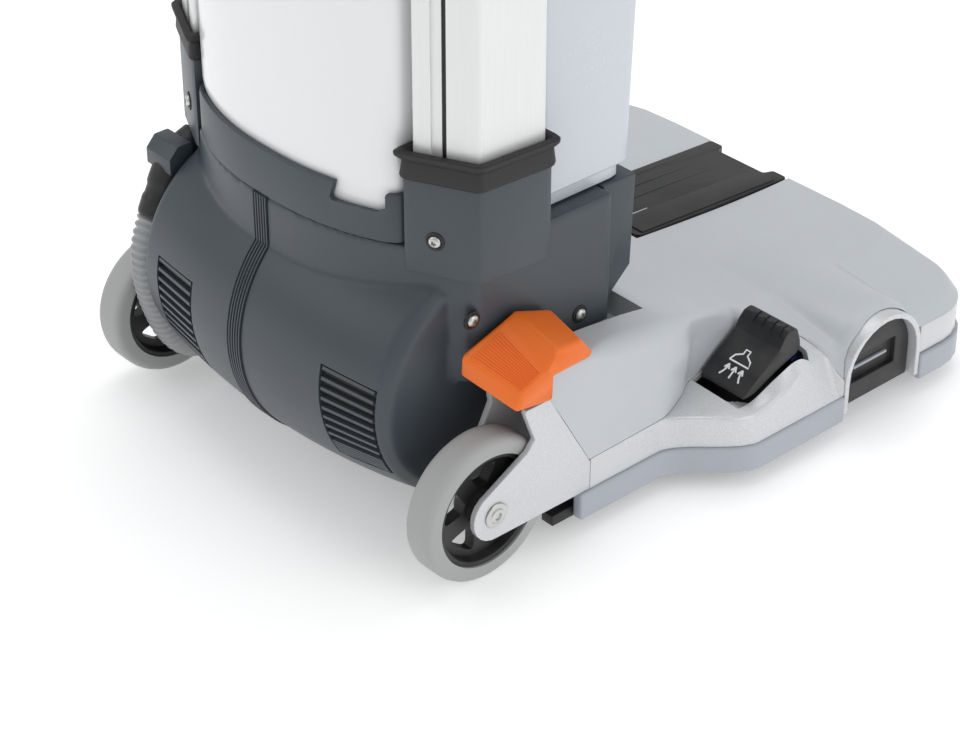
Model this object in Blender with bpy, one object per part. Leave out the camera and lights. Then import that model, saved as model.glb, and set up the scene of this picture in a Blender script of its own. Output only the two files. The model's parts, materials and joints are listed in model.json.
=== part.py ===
"""Compact upright wet dry floor scrubber, as an assembly of separate pieces.

Lengths are in millimetres and are turned into metres when a mesh is made.
x points to the operator's right, z points up, and every "ahead" value is measured forwards
from the wheel axle. The model's origin is on the floor, under the middle of its outline.
"""

import math

import bmesh
import bpy
from mathutils import Matrix, Vector

MM = 0.001

# Overall sizes
DECK_FRONT = 353.0          # front edge of the deck cover, ahead of the axle
REAR_HALF = 150.0           # half width of the deck beside the wheels
FRONT_HALF = 180.0          # half width of the deck beside the brush
FRONT_CORNER = 32.0         # plan radius of the deck's front corners
OVERALL_HEIGHT = 1150.0     # top of the grip above the floor
GAP = 0.3                   # between pieces that are fixed to each other
PLAY = 1.0                  # between pieces that move past each other

# Deck walls
COVER_WALL = 3.0
TRIM_WALL = 3.0
TRIM_BOTTOM = 27.0
NOSE_BOTTOM = 46.0          # lower edge of the cover round the front
BUMPER_PROUD = 2.0
BUMPER_WALL = 7.0
BUMPER_BOTTOM = 10.0
PAN_BOTTOM = 16.0
PAN_TOP = 30.0

# Wheels
WHEEL_RADIUS = 42.5
WHEEL_WIDTH = 19.3
WHEEL_X = 136.1
HUB_RADIUS = 33.0
HUB_BORE = 4.3
AXLE_RADIUS = 4.0
BRACKET_WALL = 3.4
AXLE_END_RADIUS = 15.0

# Tilting upright
TILT_AHEAD = 32.0
TILT_HEIGHT = 92.0
DRUM_RADIUS = 79.0
DRUM_BOW = 11.0             # how much smaller the drum is at its ends
DRUM_HALF = 105.0
DRUM_WALL = 2.6
CHEEK_HALF = 116.0
RIB_LEFT = -12.0
RIB_RIGHT = 0.0
RIB_PROUD = 1.0
PIVOT_RADIUS = 6.0
PIVOT_BOSS = 10.0
BRACKET_X = 117.5           # inner face of the pivot brackets
BRACKET_THICK = 4.0
HOUSING_TOP = 176.0
BODY_REAR = -25.0           # back of the body above the drum
BODY_FRONT = 112.0
CRADLE_TOP = 204.0
BASE_FRONT = 137.0          # front of the base cover, ahead of the axle

# Posts and handle
POST_TOP = 600.0
SOCKET_BOTTOM = 164.0
COLLAR_BOTTOM = 216.0
COLLAR_TOP = 232.0
COLLAR_WALL = 3.0
SOCKET_WALL = 2.6
YOKE_HEIGHT = 58.0
TUBE_RADIUS = 16.0
TUBE_AHEAD = 30.0
GRIP_HEIGHT = 150.0
GRIP_HALF = 68.0
GRIP_RADIUS = 14.0

# Tanks
TANK_WALL = 2.5
SOLUTION_TOP = 520.0
RECOVERY_BOTTOM = 184.0
RECOVERY_TOP = 500.0
RECOVERY_HALF = 108.0
LID_HEIGHT = 22.0

# Brush and its drive
BRUSH_AHEAD = 268.0
BRUSH_RADIUS = 28.0
BRUSH_CLEAR = 0.5           # between the brush and the floor
BRUSH_CORE = 13.0
BRUSH_LEFT = 46.0 - FRONT_HALF
BRUSH_RIGHT = FRONT_HALF - 22.0
OPENING_HEIGHT = 34.0       # centre of the arch round the brush opening
OPENING_WALL = 3.5
OPENING_BOTTOM = 14.0
HOOD_START = FRONT_HALF - 22.0          # inner end of the hood over the brush opening
MOTOR_AHEAD = 162.0
MOTOR_HEIGHT = 49.0
MOTOR_RADIUS = 18.0
MOTOR_PULLEY = 8.0
BRUSH_PULLEY = 20.0
BELT_X = 34.5 - FRONT_HALF
BELT_WIDTH = 7.0
BELT_THICK = 2.0

# Suction
PANEL_LEFT = -38.0
PANEL_RIGHT = 26.0
PANEL_REAR = 224.0
PANEL_THICK = 4.5
HOSE_RADIUS = 10.2
HOSE_X = -115.3
SPIGOT_AHEAD = 66.0
SPIGOT_HEIGHT = 24.0
BLADE_FOOT = 0.0

# Pedal and rocker
PEDAL_PIVOT = (41.0, 111.0)
PEDAL_INNER = 119.5
PEDAL_OUTER = 152.3
PEDAL_WALL = 1.6
ROCKER_PIVOT = (188.0, 52.0)
ROCKER_INNER = FRONT_HALF - 45.0
ROCKER_OUTER = FRONT_HALF - 11.5

BRUSH_HEIGHT = BRUSH_RADIUS + BRUSH_CLEAR
OPENING_INNER = BRUSH_RADIUS + 0.5
OPENING_OUTER = OPENING_INNER + OPENING_WALL
REAR_END = TILT_AHEAD - DRUM_RADIUS - RIB_PROUD
AXLE_Y = -(DECK_FRONT + BUMPER_PROUD + REAR_END) / 2
RECESS_RADIUS = DRUM_RADIUS + 4.0
RECESS_HALF = BRACKET_X + BRACKET_THICK + GAP

for leftover in list(bpy.data.objects):
    bpy.data.objects.remove(leftover, do_unlink=True)


# ---------------------------------------------------------------- materials

def paint(name, colour, roughness, metallic=0.0):
    """Make one Principled material."""
    material = bpy.data.materials.new(name)
    material.use_nodes = True
    shader = material.node_tree.nodes["Principled BSDF"]
    shader.inputs["Base Color"].default_value = (*colour, 1.0)
    shader.inputs["Roughness"].default_value = roughness
    shader.inputs["Metallic"].default_value = metallic
    material.diffuse_color = (*colour, 1.0)
    return material


SLATE = paint("slate_plastic", (0.055, 0.068, 0.080), 0.45)
BLACK = paint("black_plastic", (0.018, 0.018, 0.020), 0.5)
COVER_GREY = paint("cover_grey", (0.60, 0.62, 0.65), 0.38)
SILVER = paint("silver_trim", (0.70, 0.71, 0.73), 0.3)
BUMPER_GREY = paint("bumper_grey", (0.50, 0.53, 0.58), 0.45)
ORANGE = paint("pedal_orange", (0.95, 0.22, 0.02), 0.4)
WHITE = paint("tank_white", (0.86, 0.87, 0.88), 0.25)
TANK_GREY = paint("tank_grey", (0.58, 0.62, 0.68), 0.3)
ALUMINIUM = paint("aluminium", (0.78, 0.79, 0.80), 0.3, 1.0)
STEEL = paint("steel", (0.6, 0.6, 0.6), 0.3, 1.0)
RUBBER = paint("black_rubber", (0.02, 0.02, 0.02), 0.8)
TYRE_GREY = paint("tyre_grey", (0.48, 0.48, 0.47), 0.7)
BRISTLE = paint("bristle", (0.10, 0.20, 0.45), 0.8)
HOSE_GREY = paint("hose_grey", (0.42, 0.43, 0.44), 0.45)


# ---------------------------------------------------------------- mesh tools

def in_metres(point):
    return Vector(point) * MM


def finish(name, mesh_data, material, smooth_angle=32.0):
    """Turn a bmesh into a named object whose faces point outwards."""
    bmesh.ops.recalc_face_normals(mesh_data, faces=mesh_data.faces)
    mesh = bpy.data.meshes.new(name)
    mesh_data.to_mesh(mesh)
    mesh_data.free()
    mesh.shade_smooth()
    mesh.set_sharp_from_angle(angle=math.radians(smooth_angle))
    mesh.materials.append(material)
    thing = bpy.data.objects.new(name, mesh)
    bpy.context.scene.collection.objects.link(thing)
    thing.parent = DATUM
    return thing


def loft(name, rings, material, closed=False):
    """Skin closed rings of equal length, with flat ends unless the loft closes on itself."""
    mesh_data = bmesh.new()
    rows = [[mesh_data.verts.new(in_metres(point)) for point in ring] for ring in rings]
    count = len(rings[0])
    pairs = list(zip(rows, rows[1:]))
    if closed:
        pairs.append((rows[-1], rows[0]))
    else:
        mesh_data.faces.new(rows[0])
        mesh_data.faces.new(rows[-1])
    for low, high in pairs:
        for index in range(count):
            after = (index + 1) % count
            mesh_data.faces.new((low[index], low[after], high[after], high[index]))
    return finish(name, mesh_data, material)


def extrude_x(name, outline, low, high, material):
    """Extrude an (ahead, z) outline from x = low to x = high."""
    return loft(name, [[(x, y, z) for y, z in outline] for x in (low, high)], material)


def extrude_z(name, outline, low, high, material):
    """Extrude an (x, ahead) outline from z = low to z = high."""
    return loft(name, [[(x, y, z) for x, y in outline] for z in (low, high)], material)


def turn(name, profile, centre, axis, material, steps=32):
    """Turn a closed (along, radius) profile about an axis through centre.

    A profile whose first and last radius are zero makes a solid; any other makes a ring.
    """
    mesh_data = bmesh.new()
    first = {"X": Vector((0, 1, 0)), "Y": Vector((0, 0, 1)), "Z": Vector((1, 0, 0))}[axis]
    along = {"X": Vector((1, 0, 0)), "Y": Vector((0, 1, 0)), "Z": Vector((0, 0, 1))}[axis]
    second = along.cross(first)
    rows = []
    for distance, radius in profile:
        base = Vector(centre) + along * distance
        if radius == 0:
            rows.append([mesh_data.verts.new(in_metres(base))] * steps)
            continue
        row = []
        for step in range(steps):
            angle = 2 * math.pi * step / steps
            row.append(mesh_data.verts.new(in_metres(
                base + radius * (math.cos(angle) * first + math.sin(angle) * second))))
        rows.append(row)
    pairs = list(zip(rows, rows[1:]))
    if profile[0][1] > 0:
        pairs.append((rows[-1], rows[0]))
    for low, high in pairs:
        for step in range(steps):
            after = (step + 1) % steps
            corners = [low[step], low[after], high[after], high[step]]
            corners = list(dict.fromkeys(corners))
            mesh_data.faces.new(corners)
    return finish(name, mesh_data, material)


def rod(name, centre, axis, low, high, radius, material, steps=20):
    """A plain solid cylinder."""
    return turn(name, ((low, 0), (low, radius), (high, radius), (high, 0)), centre, axis, material, steps)


def sleeve(name, centre, axis, low, high, inner, outer, material, steps=24):
    """A plain tube."""
    profile = ((low, inner), (low, outer), (high, outer), (high, inner))
    return turn(name, profile, centre, axis, material, steps)


def rounded(outline, radius, steps=3):
    """Round the corners of a closed outline; radius is one number or one for each corner."""
    points = []
    count = len(outline)
    for index, corner in enumerate(outline):
        size = radius[index] if isinstance(radius, (list, tuple)) else radius
        corner = Vector(corner)
        before = Vector(outline[index - 1]) - corner
        after = Vector(outline[(index + 1) % count]) - corner
        angle = before.angle(after)
        if size <= 0 or angle > math.radians(172):
            points.append(tuple(corner))
            continue
        reach = min(size / math.tan(angle / 2), 0.45 * before.length, 0.45 * after.length)
        start = corner + before.normalized() * reach
        end = corner + after.normalized() * reach
        for step in range(steps + 1):
            share = step / steps
            bend = (1 - share) ** 2 * start + 2 * share * (1 - share) * corner + share ** 2 * end
            points.append(tuple(bend))
    return points


def arc(centre, radius, start, stop, steps):
    """Points on an arc, in degrees from the first plane axis towards the second."""
    points = []
    for step in range(steps + 1):
        angle = math.radians(start + (stop - start) * step / steps)
        points.append((centre[0] + radius * math.cos(angle), centre[1] + radius * math.sin(angle)))
    return points


def apply_boolean(target, other, operation):
    """Apply one Boolean to target and remove the other object."""
    modifier = target.modifiers.new("boolean", "BOOLEAN")
    modifier.operation = operation
    modifier.solver = "EXACT"
    modifier.object = other
    bpy.context.view_layer.update()
    evaluated = target.evaluated_get(bpy.context.evaluated_depsgraph_get())
    result = bpy.data.meshes.new_from_object(evaluated)
    target.modifiers.clear()
    old = target.data
    target.data = result
    bpy.data.meshes.remove(old)
    tidy = bmesh.new()
    tidy.from_mesh(result)
    bmesh.ops.remove_doubles(tidy, verts=tidy.verts, dist=0.00002)
    bmesh.ops.dissolve_degenerate(tidy, edges=tidy.edges, dist=0.00002)
    tidy.to_mesh(result)
    tidy.free()
    bpy.data.objects.remove(other, do_unlink=True)
    return target


def cut(target, *cutters):
    for cutter in cutters:
        apply_boolean(target, cutter, "DIFFERENCE")
    return target


def join(target, *others):
    for other in others:
        apply_boolean(target, other, "UNION")
    return target


def common(target, other):
    return apply_boolean(target, other, "INTERSECT")


def ease(share):
    share = min(max(share, 0.0), 1.0)
    return share * share * (3 - 2 * share)


def along(stations, ahead):
    """Read a short list of (ahead, value, ...) stations at one place."""
    if ahead <= stations[0][0]:
        return stations[0][1:]
    for near, far in zip(stations, stations[1:]):
        if ahead <= far[0]:
            share = (ahead - near[0]) / (far[0] - near[0])
            return tuple(a + (b - a) * share for a, b in zip(near[1:], far[1:]))
    return stations[-1][1:]


def mirrored(points):
    """The same (x, ahead) points on the other side, in running order."""
    return [(-x, y) for x, y in reversed(points)]


def empty(name, ahead, height, x=0.0, parent=None):
    """An empty on a joint axis."""
    thing = bpy.data.objects.new(name, None)
    bpy.context.scene.collection.objects.link(thing)
    thing.empty_display_size = 0.03
    thing.parent = parent
    thing.location = (x * MM, ahead * MM, height * MM)
    return thing


def hang(thing, axis_empty):
    """Parent a finished object to the empty on its joint axis, where it stands."""
    offset = axis_empty.location.copy()
    thing.parent = axis_empty
    thing.matrix_parent_inverse = Matrix.Translation(-offset)
    return thing


DATUM = empty("wheel_axle_line", 0.0, 0.0)
DATUM.location = (0.0, AXLE_Y * MM, 0.0)


# ---------------------------------------------------------------- deck outline

SIDE_START = 118.0          # where the deck starts to widen
SIDE_RUN = 50.0             # length of the widening

# Top surface beside the drum and along the middle: ahead, height
CROWN = ((28, 102), (132, 101), (150, 94), (185, 79), (210, 70.5), (225, 67.5), (DECK_FRONT, 60))
# Soft ridge between the top and the side: ahead, x, height
RIDGE = ((28, 148, 111.5), (66, 148, 111), (110, 145, 105), (150, 139, 95), (185, 129, 81),
         (215, 119.5, 69), (240, 117, 64), (DECK_FRONT, 117, 59))
# Middle of the side wall: ahead, x, height
FLANK = ((28, 150.3, 80), (118, 150.3, 78), (143, 146, 78), (160, 133.5, 74), (190, 132.5, 71),
         (211, 133, 67.5), (220, 147, 62.5), (240, 171, 54),
         (255, 172, 62), (268, 173, 66), (281, 172, 62), (300, 171, 54), (DECK_FRONT, 171, 52))
# Lower edge of the cover, where the side trim begins: ahead, x, height
SEAM = ((28, 150, 45.5), (120, 149.5, 47), (143, 142, 47.5), (160, 133.5, 48), (190, 132.5, 60),
        (211, 133, 66), (216, 142, 64.5), (224, 154, 59.5), (230, 166, 52), (236, 179, 37.5),
        (240, 180, NOSE_BOTTOM), (DECK_FRONT, 180, NOSE_BOTTOM))
# Outer edge of the trim's shelf: ahead, x, height
SHELF = ((28, 150, 45), (120, 150, 46.6), (143, 163, 47), (166, 169, 46.5), (190, 169, 54.5),
         (209, 168.5, 60.5), (224, 166, 56), (230, 167, 52.2), (236, 179.4, 37.2))
# Rounded fold between shelf and lower face: ahead, x, height
FOLD = ((28, 150, 44), (120, 150.5, 45), (143, 167, 46.8), (156, 176, 45.6), (166, 178, 45.3),
        (190, 176.5, 48), (209, 172, 51), (230, 168.5, 51), (236, 179.8, 36.5))
DRAWN_REAR_HALF = 150.0     # half widths that the shaping lines above were drawn for
DRAWN_FRONT_HALF = 180.0
DECK_STATIONS = (28, 50, 66, 90, 118, 130, 143, 152, 160, 176, 190, 203, 211, 216, 224, 230, 236,
                 240, 255, 268, 281, 300, DECK_FRONT - FRONT_CORNER)
PILLAR_TOP = (37.2, 97.5)
PILLAR_FOOT = (67.5, 45.0)


def side_half(ahead):
    """Half width of the deck's outline at one distance ahead of the axle."""
    half = REAR_HALF + (FRONT_HALF - REAR_HALF) * ease((ahead - SIDE_START) / SIDE_RUN)
    into_corner = ahead - (DECK_FRONT - FRONT_CORNER)
    if into_corner > 0:
        half -= FRONT_CORNER - math.sqrt(max(FRONT_CORNER ** 2 - into_corner ** 2, 0.0))
    return half


def fitted(stations):
    """Shift a shaping line sideways with the deck's half widths."""
    moved = []
    for ahead, x, *rest in stations:
        share = ease((ahead - SIDE_START) / SIDE_RUN)
        drawn = DRAWN_REAR_HALF + (DRAWN_FRONT_HALF - DRAWN_REAR_HALF) * share
        wanted = REAR_HALF + (FRONT_HALF - REAR_HALF) * share
        moved.append((ahead, x + wanted - drawn, *rest))
    return tuple(moved)


RIDGE, FLANK, SEAM, SHELF, FOLD = (fitted(line) for line in (RIDGE, FLANK, SEAM, SHELF, FOLD))


def corner_stations(inset):
    """Stations through the rounded front corner."""
    reach = FRONT_CORNER - inset
    start = DECK_FRONT - FRONT_CORNER
    return [start + reach * math.sin(math.radians(angle)) for angle in (25, 45, 62, 77, 90)]


def left_flank(ahead):
    """Middle of the plain left side wall: x, height."""
    share = ease((ahead - SIDE_START) / SIDE_RUN)
    return REAR_HALF + 0.3 + (FRONT_HALF - REAR_HALF - 9.3) * share, 80.0 - 28.0 * share


def narrowed(x, ahead, inset):
    """Pull an x value in with the outline where the front corner turns."""
    full = FRONT_HALF
    return x * (side_half(ahead) / full) - inset if ahead > DECK_FRONT - FRONT_CORNER else x - inset


def cover_section(ahead, inset, drop):
    """Filled cross-section of the cover; inset makes it smaller, drop lowers its foot."""
    ridge_x, ridge_z = along(RIDGE, ahead)
    (crown_z,) = along(CROWN, ahead)
    top = [(70.0, crown_z - inset), (narrowed(ridge_x, ahead, inset), ridge_z - inset)]
    sides = []
    plain_x = min(side_half(ahead), FRONT_HALF)
    plain_seam = (plain_x, NOSE_BOTTOM) if ahead < DECK_FRONT - FRONT_CORNER else (FRONT_HALF, NOSE_BOTTOM)
    for flank, seam in ((left_flank(ahead), plain_seam), (along(FLANK, ahead), along(SEAM, ahead))):
        sides.append(top + [(narrowed(flank[0], ahead, inset), flank[1] - inset * 0.6),
                            (narrowed(seam[0], ahead, inset), seam[1] + GAP - drop)])
    left = [(-x, z) for x, z in reversed(sides[0])]
    return [(x, ahead, z) for x, z in left + [(0.0, crown_z - inset)] + sides[1]]


def recess_outline(spare):
    """Side view of the hollow that the drum turns in; spare makes it larger."""
    reach = RECESS_RADIUS + spare
    centre = (TILT_AHEAD, TILT_HEIGHT)
    front = TILT_AHEAD + DRUM_RADIUS + 21.0 + spare
    bow = arc(centre, reach, -75, -8, 8)
    return [(-120.0, -20.0), (bow[0][0], -20.0)] + bow + [
        (front - 3.0, TILT_HEIGHT - 4.0), (front, TILT_HEIGHT + 4.0), (front, 160.0), (-120.0, 160.0)]


def panel_pocket(spare):
    """Solid that clears the pocket for the duct panel."""
    outline = []
    for ahead in (PANEL_REAR - 2.0 - spare, DECK_FRONT + 5.0):
        (top,) = along(CROWN, min(ahead, DECK_FRONT))
        outline.append((ahead, top - PANEL_THICK - 0.8 - spare))
    outline += [(DECK_FRONT + 5.0, 90.0), (PANEL_REAR - 2.0 - spare, 90.0)]
    return extrude_x("pocket", outline, PANEL_LEFT - PLAY - spare, PANEL_RIGHT + PLAY + spare, BLACK)


def rocker_well(spare):
    """Solid that clears the space round the rocker, over its travel."""
    return extrude_x("well", ((160 - spare, 44), (160 - spare, 90), (216 + spare, 90), (216 + spare, 44)),
                     ROCKER_INNER - PLAY - spare, ROCKER_OUTER + PLAY + spare, BLACK)


def rear_slant():
    """Solid behind the slanted rear edge of the cover's sides."""
    slope = (PILLAR_FOOT[0] - PILLAR_TOP[0]) / (PILLAR_FOOT[1] - PILLAR_TOP[1])
    high = PILLAR_TOP[0] + slope * (140.0 - PILLAR_TOP[1])
    low = PILLAR_TOP[0] + slope * (20.0 - PILLAR_TOP[1])
    outline = ((high, 140.0), (low, 20.0), (-40.0, 20.0), (-40.0, 140.0))
    return extrude_x("slant", outline, -FRONT_HALF - 20.0, FRONT_HALF + 20.0, BLACK)


def brush_arch(radius, low_x, high_x, foot):
    """Arch shape of the brush opening, open downwards to foot."""
    outline = [(BRUSH_AHEAD + radius, foot)] + arc((BRUSH_AHEAD, OPENING_HEIGHT), radius, 0, 180, 14)
    outline.append((BRUSH_AHEAD - radius, foot))
    return extrude_x("arch", outline, low_x, high_x, BLACK)


def make_cover():
    """Light grey deck cover, a shell open underneath, with the hollow for the drum."""
    stations = list(DECK_STATIONS)
    outer = loft("deck_cover", [cover_section(y, 0.0, 0.0) for y in stations + corner_stations(0.0)], COVER_GREY)
    inner_rings = [cover_section(y, COVER_WALL, 12.0) for y in stations + corner_stations(COVER_WALL)]
    inner_rings[0] = [(x, y - 5.0, z) for x, y, z in inner_rings[0]]
    hollow = loft("hollow", inner_rings, BLACK)
    cut(hollow, extrude_x("wall", recess_outline(COVER_WALL), -RECESS_HALF - COVER_WALL,
                          RECESS_HALF + COVER_WALL, BLACK))
    cut(hollow, panel_pocket(COVER_WALL))
    cut(outer, rear_slant())
    cut(outer, extrude_x("recess", recess_outline(0.0), -RECESS_HALF, RECESS_HALF, BLACK))
    cut(outer, hollow)
    cut(outer, panel_pocket(0.0))
    cut(outer, extrude_x("pedal_well", ((0, 97), (0, 130), (54, 130), (54, 97)), 110.0, REAR_HALF - 3.5, BLACK))
    cut(outer, brush_arch(OPENING_OUTER + GAP, HOOD_START - GAP, FRONT_HALF + 20.0, -5.0))
    cut(outer, rod("brush_room", (0, BRUSH_AHEAD, BRUSH_HEIGHT), "X", 0.0, HOOD_START + 5.0, BRUSH_RADIUS + PLAY,
                   BLACK, 24))
    return outer


def trim_section(ahead):
    """Thin cross-section of the right side trim, with its shelf for the rocker."""
    seam_x, seam_z = along(SEAM, ahead)
    shelf_x, shelf_z = along(SHELF, ahead)
    fold_x, fold_z = along(FOLD, ahead)
    bottom_x = side_half(ahead)
    wall = TRIM_WALL
    points = [(seam_x, seam_z), (shelf_x, shelf_z), (fold_x, fold_z), (bottom_x, TRIM_BOTTOM),
              (bottom_x - wall, TRIM_BOTTOM), (fold_x - wall, fold_z - wall),
              (min(shelf_x, fold_x - 0.5) - wall, shelf_z - wall), (seam_x - 0.5 * wall, seam_z - wall)]
    return [(x, ahead, z) for x, z in points]


TRIM_START = PILLAR_FOOT[0] + GAP
TRIM_END = BRUSH_AHEAD - OPENING_OUTER - GAP


def make_side_trims():
    """Silver side trims from the wheel brackets forwards; the right one has the rocker's shelf."""
    stations = [TRIM_START] + [y for y in DECK_STATIONS if TRIM_START < y < TRIM_END] + [TRIM_END]
    right = loft("side_trim_right", [trim_section(y) for y in stations], SILVER)
    cut(right, rocker_well(0.0))
    outer = side_path(TRIM_START, TRIM_END, 0.0)
    inner = side_path(TRIM_START, TRIM_END, -TRIM_WALL)
    left = extrude_z("side_trim_left", mirrored(outer + inner[::-1]), TRIM_BOTTOM + GAP, NOSE_BOTTOM, SILVER)
    return right, left


def side_path(start, end, proud):
    """Plan path along one side of the deck."""
    steps = 8
    points = [(side_half(start) + proud, start)]
    for step in range(steps + 1):
        ahead = SIDE_START + step * SIDE_RUN / steps
        points.append((side_half(ahead) + proud, ahead))
    points.append((side_half(end) + proud, end))
    return points


def nose_path(start_right, start_left, proud):
    """Plan path from the right side round the front to the left side."""
    def turn_points():
        points = []
        for angle in range(0, 91, 15):
            bend = math.radians(angle)
            points.append((FRONT_HALF - FRONT_CORNER + (FRONT_CORNER + proud) * math.cos(bend),
                           DECK_FRONT - FRONT_CORNER + (FRONT_CORNER + proud) * math.sin(bend)))
        return points
    right = [(side_half(start_right) + proud, start_right)] + turn_points()
    left = mirrored(turn_points())
    if start_left > SIDE_START + SIDE_RUN:
        return right + left + [(-side_half(start_left) - proud, start_left)]
    return right + left + mirrored(side_path(start_left, SIDE_START + SIDE_RUN + 1.0, proud))


def make_front_trim():
    """Silver band round the front, under the cover."""
    outer = nose_path(BRUSH_AHEAD + OPENING_OUTER + GAP, BRUSH_AHEAD - OPENING_OUTER + GAP, 0.0)
    inner = nose_path(BRUSH_AHEAD + OPENING_OUTER + GAP, BRUSH_AHEAD - OPENING_OUTER + GAP, -TRIM_WALL)
    return extrude_z("front_trim", outer + inner[::-1], TRIM_BOTTOM + GAP, NOSE_BOTTOM, SILVER)


def make_bumpers():
    """Grey bumper strips: one ahead of the right wheel, one round the front and left side."""
    rear = TRIM_START - 8.0
    outer = side_path(rear, TRIM_END, BUMPER_PROUD)
    inner = side_path(rear, TRIM_END, BUMPER_PROUD - BUMPER_WALL)
    right = extrude_z("bumper_right", outer + inner[::-1], BUMPER_BOTTOM, TRIM_BOTTOM - GAP, BUMPER_GREY)
    outer = nose_path(BRUSH_AHEAD + OPENING_OUTER + GAP, rear, BUMPER_PROUD)
    inner = nose_path(BRUSH_AHEAD + OPENING_OUTER + GAP, rear, BUMPER_PROUD - BUMPER_WALL)
    front = extrude_z("bumper_front", outer + inner[::-1], BUMPER_BOTTOM, TRIM_BOTTOM - GAP, BUMPER_GREY)
    return right, front


def make_chassis():
    """Dark pan that carries the brush, motor and squeegees, with the suction spigot."""
    inset = BUMPER_WALL - BUMPER_PROUD + GAP
    rear_cheek = BRACKET_X + BRACKET_THICK + 1.0
    cheek_start = SPIGOT_AHEAD + 2.0
    right = [(rear_cheek, cheek_start)] + side_path(cheek_start, DECK_FRONT - FRONT_CORNER, -inset)
    right.append((FRONT_HALF - FRONT_CORNER, DECK_FRONT - inset))
    inner_front = TILT_AHEAD + RECESS_RADIUS + 2.0
    outline = [(rear_cheek, inner_front)] + right
    pan = extrude_z("chassis", outline + mirrored(outline), PAN_BOTTOM, PAN_TOP, BLACK)
    cut(pan, turn("tunnel", ((BRUSH_LEFT - 26, 0), (BRUSH_LEFT - 26, BRUSH_RADIUS + 3),
                      (FRONT_HALF + 40, BRUSH_RADIUS + 3), (FRONT_HALF + 40, 0)),
                  (0, BRUSH_AHEAD, BRUSH_HEIGHT), "X", BLACK, 28))
    cut(pan, brush_arch(OPENING_OUTER + GAP, HOOD_START - 1.0, FRONT_HALF + 40.0, -5.0))
    reach = BELT_WIDTH / 2 + PLAY
    slot = ((BELT_X - reach, MOTOR_AHEAD - 14), (BELT_X + reach, MOTOR_AHEAD - 14),
            (BELT_X + reach, BRUSH_AHEAD), (BELT_X - reach, BRUSH_AHEAD))
    cut(pan, extrude_z("slot", slot, 0.0, 60.0, BLACK))
    spigot = sleeve("spigot", (HOSE_X, SPIGOT_AHEAD, SPIGOT_HEIGHT), "Y", 0.0,
                    inner_front + 6.0 - SPIGOT_AHEAD, HOSE_RADIUS - 3.0, HOSE_RADIUS - 0.5, BLACK, 16)
    join(pan, spigot)
    return pan


def make_wheel_bracket(name, side):
    """Silver plate outside a wheel: axle arm and the pillar under the pedal."""
    arm_low = arc((0.0, WHEEL_RADIUS), AXLE_END_RADIUS, -84, -250, 10)
    outline = [(PILLAR_FOOT[0] - GAP, PILLAR_FOOT[1]), (PILLAR_FOOT[0] - GAP, TRIM_BOTTOM + GAP),
               (TRIM_START - 9.0, TRIM_BOTTOM + GAP)]
    outline += arm_low + [(22.0, 71.0), (27.0, 77.0), (20.0, PILLAR_TOP[1] - 2), (21.0, PILLAR_TOP[1])]
    outline.append((PILLAR_TOP[0] - GAP, PILLAR_TOP[1]))
    outer = REAR_HALF + 0.3
    low, high = sorted((side * (outer - BRACKET_WALL), side * outer))
    plate = extrude_x(name, outline, low, high, SILVER)
    cut(plate, rod("bore", (0, 0, WHEEL_RADIUS), "X", low - 5, high + 5, AXLE_RADIUS + GAP, BLACK))
    return plate


def make_axle(name, side):
    """Steel stub axle with a flat head outside the bracket."""
    outer = REAR_HALF + 0.3
    inner = WHEEL_X - WHEEL_WIDTH / 2 - 0.5
    profile = ((inner, 0), (inner, AXLE_RADIUS),
               (outer + GAP, AXLE_RADIUS), (outer + GAP, 6.5), (outer + 1.6, 6.5),
               (outer + 1.6, 3.0), (outer + 2.2, 0))
    axle = turn(name, [(side * x, r) for x, r in profile], (0, 0, WHEEL_RADIUS), "X", STEEL, 20)
    return axle


def make_wheel(label, side):
    """Tyre and spoked hub, both turned on the wheel's own axis."""
    half = WHEEL_WIDTH / 2
    rim = HUB_RADIUS
    tyre_profile = ((-half, rim), (-half, WHEEL_RADIUS - 2.4), (-half + 0.9, WHEEL_RADIUS - 0.7),
                    (-half + 2.8, WHEEL_RADIUS), (half - 2.8, WHEEL_RADIUS),
                    (half - 0.9, WHEEL_RADIUS - 0.7), (half, WHEEL_RADIUS - 2.4), (half, rim))
    centre = (side * WHEEL_X, 0, WHEEL_RADIUS)
    tyre = turn("tyre_" + label, tyre_profile, centre, "X", TYRE_GREY, 32)
    outer = rim - GAP
    face = half - 1.2
    dish = face - 5.0
    hub_profile = ((-face, HUB_BORE), (-face, 10.0), (-dish, 10.0), (-dish, outer - 2.5), (-face, outer - 2.5),
                   (-face, outer), (face, outer), (face, outer - 2.5), (dish, outer - 2.5),
                   (dish, 10.0), (face, 10.0), (face, HUB_BORE))
    hub = turn("hub_" + label, hub_profile, centre, "X", BLACK, 32)
    spokes = 5
    for index in range(spokes):
        angle = 2 * math.pi * index / spokes + 0.3
        middle = 0.5 * (11.0 + outer - 3.0)
        hole = rod("hole", (centre[0], centre[1] + middle * math.cos(angle), centre[2] + middle * math.sin(angle)),
                   "X", -half - 2, half + 2, 6.4, BLACK, 8)
        cut(hub, hole)
    axis = empty("wheel_axis_" + label, 0.0, WHEEL_RADIUS, side * WHEEL_X, DATUM)
    return hang(tyre, axis), hang(hub, axis)


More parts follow.
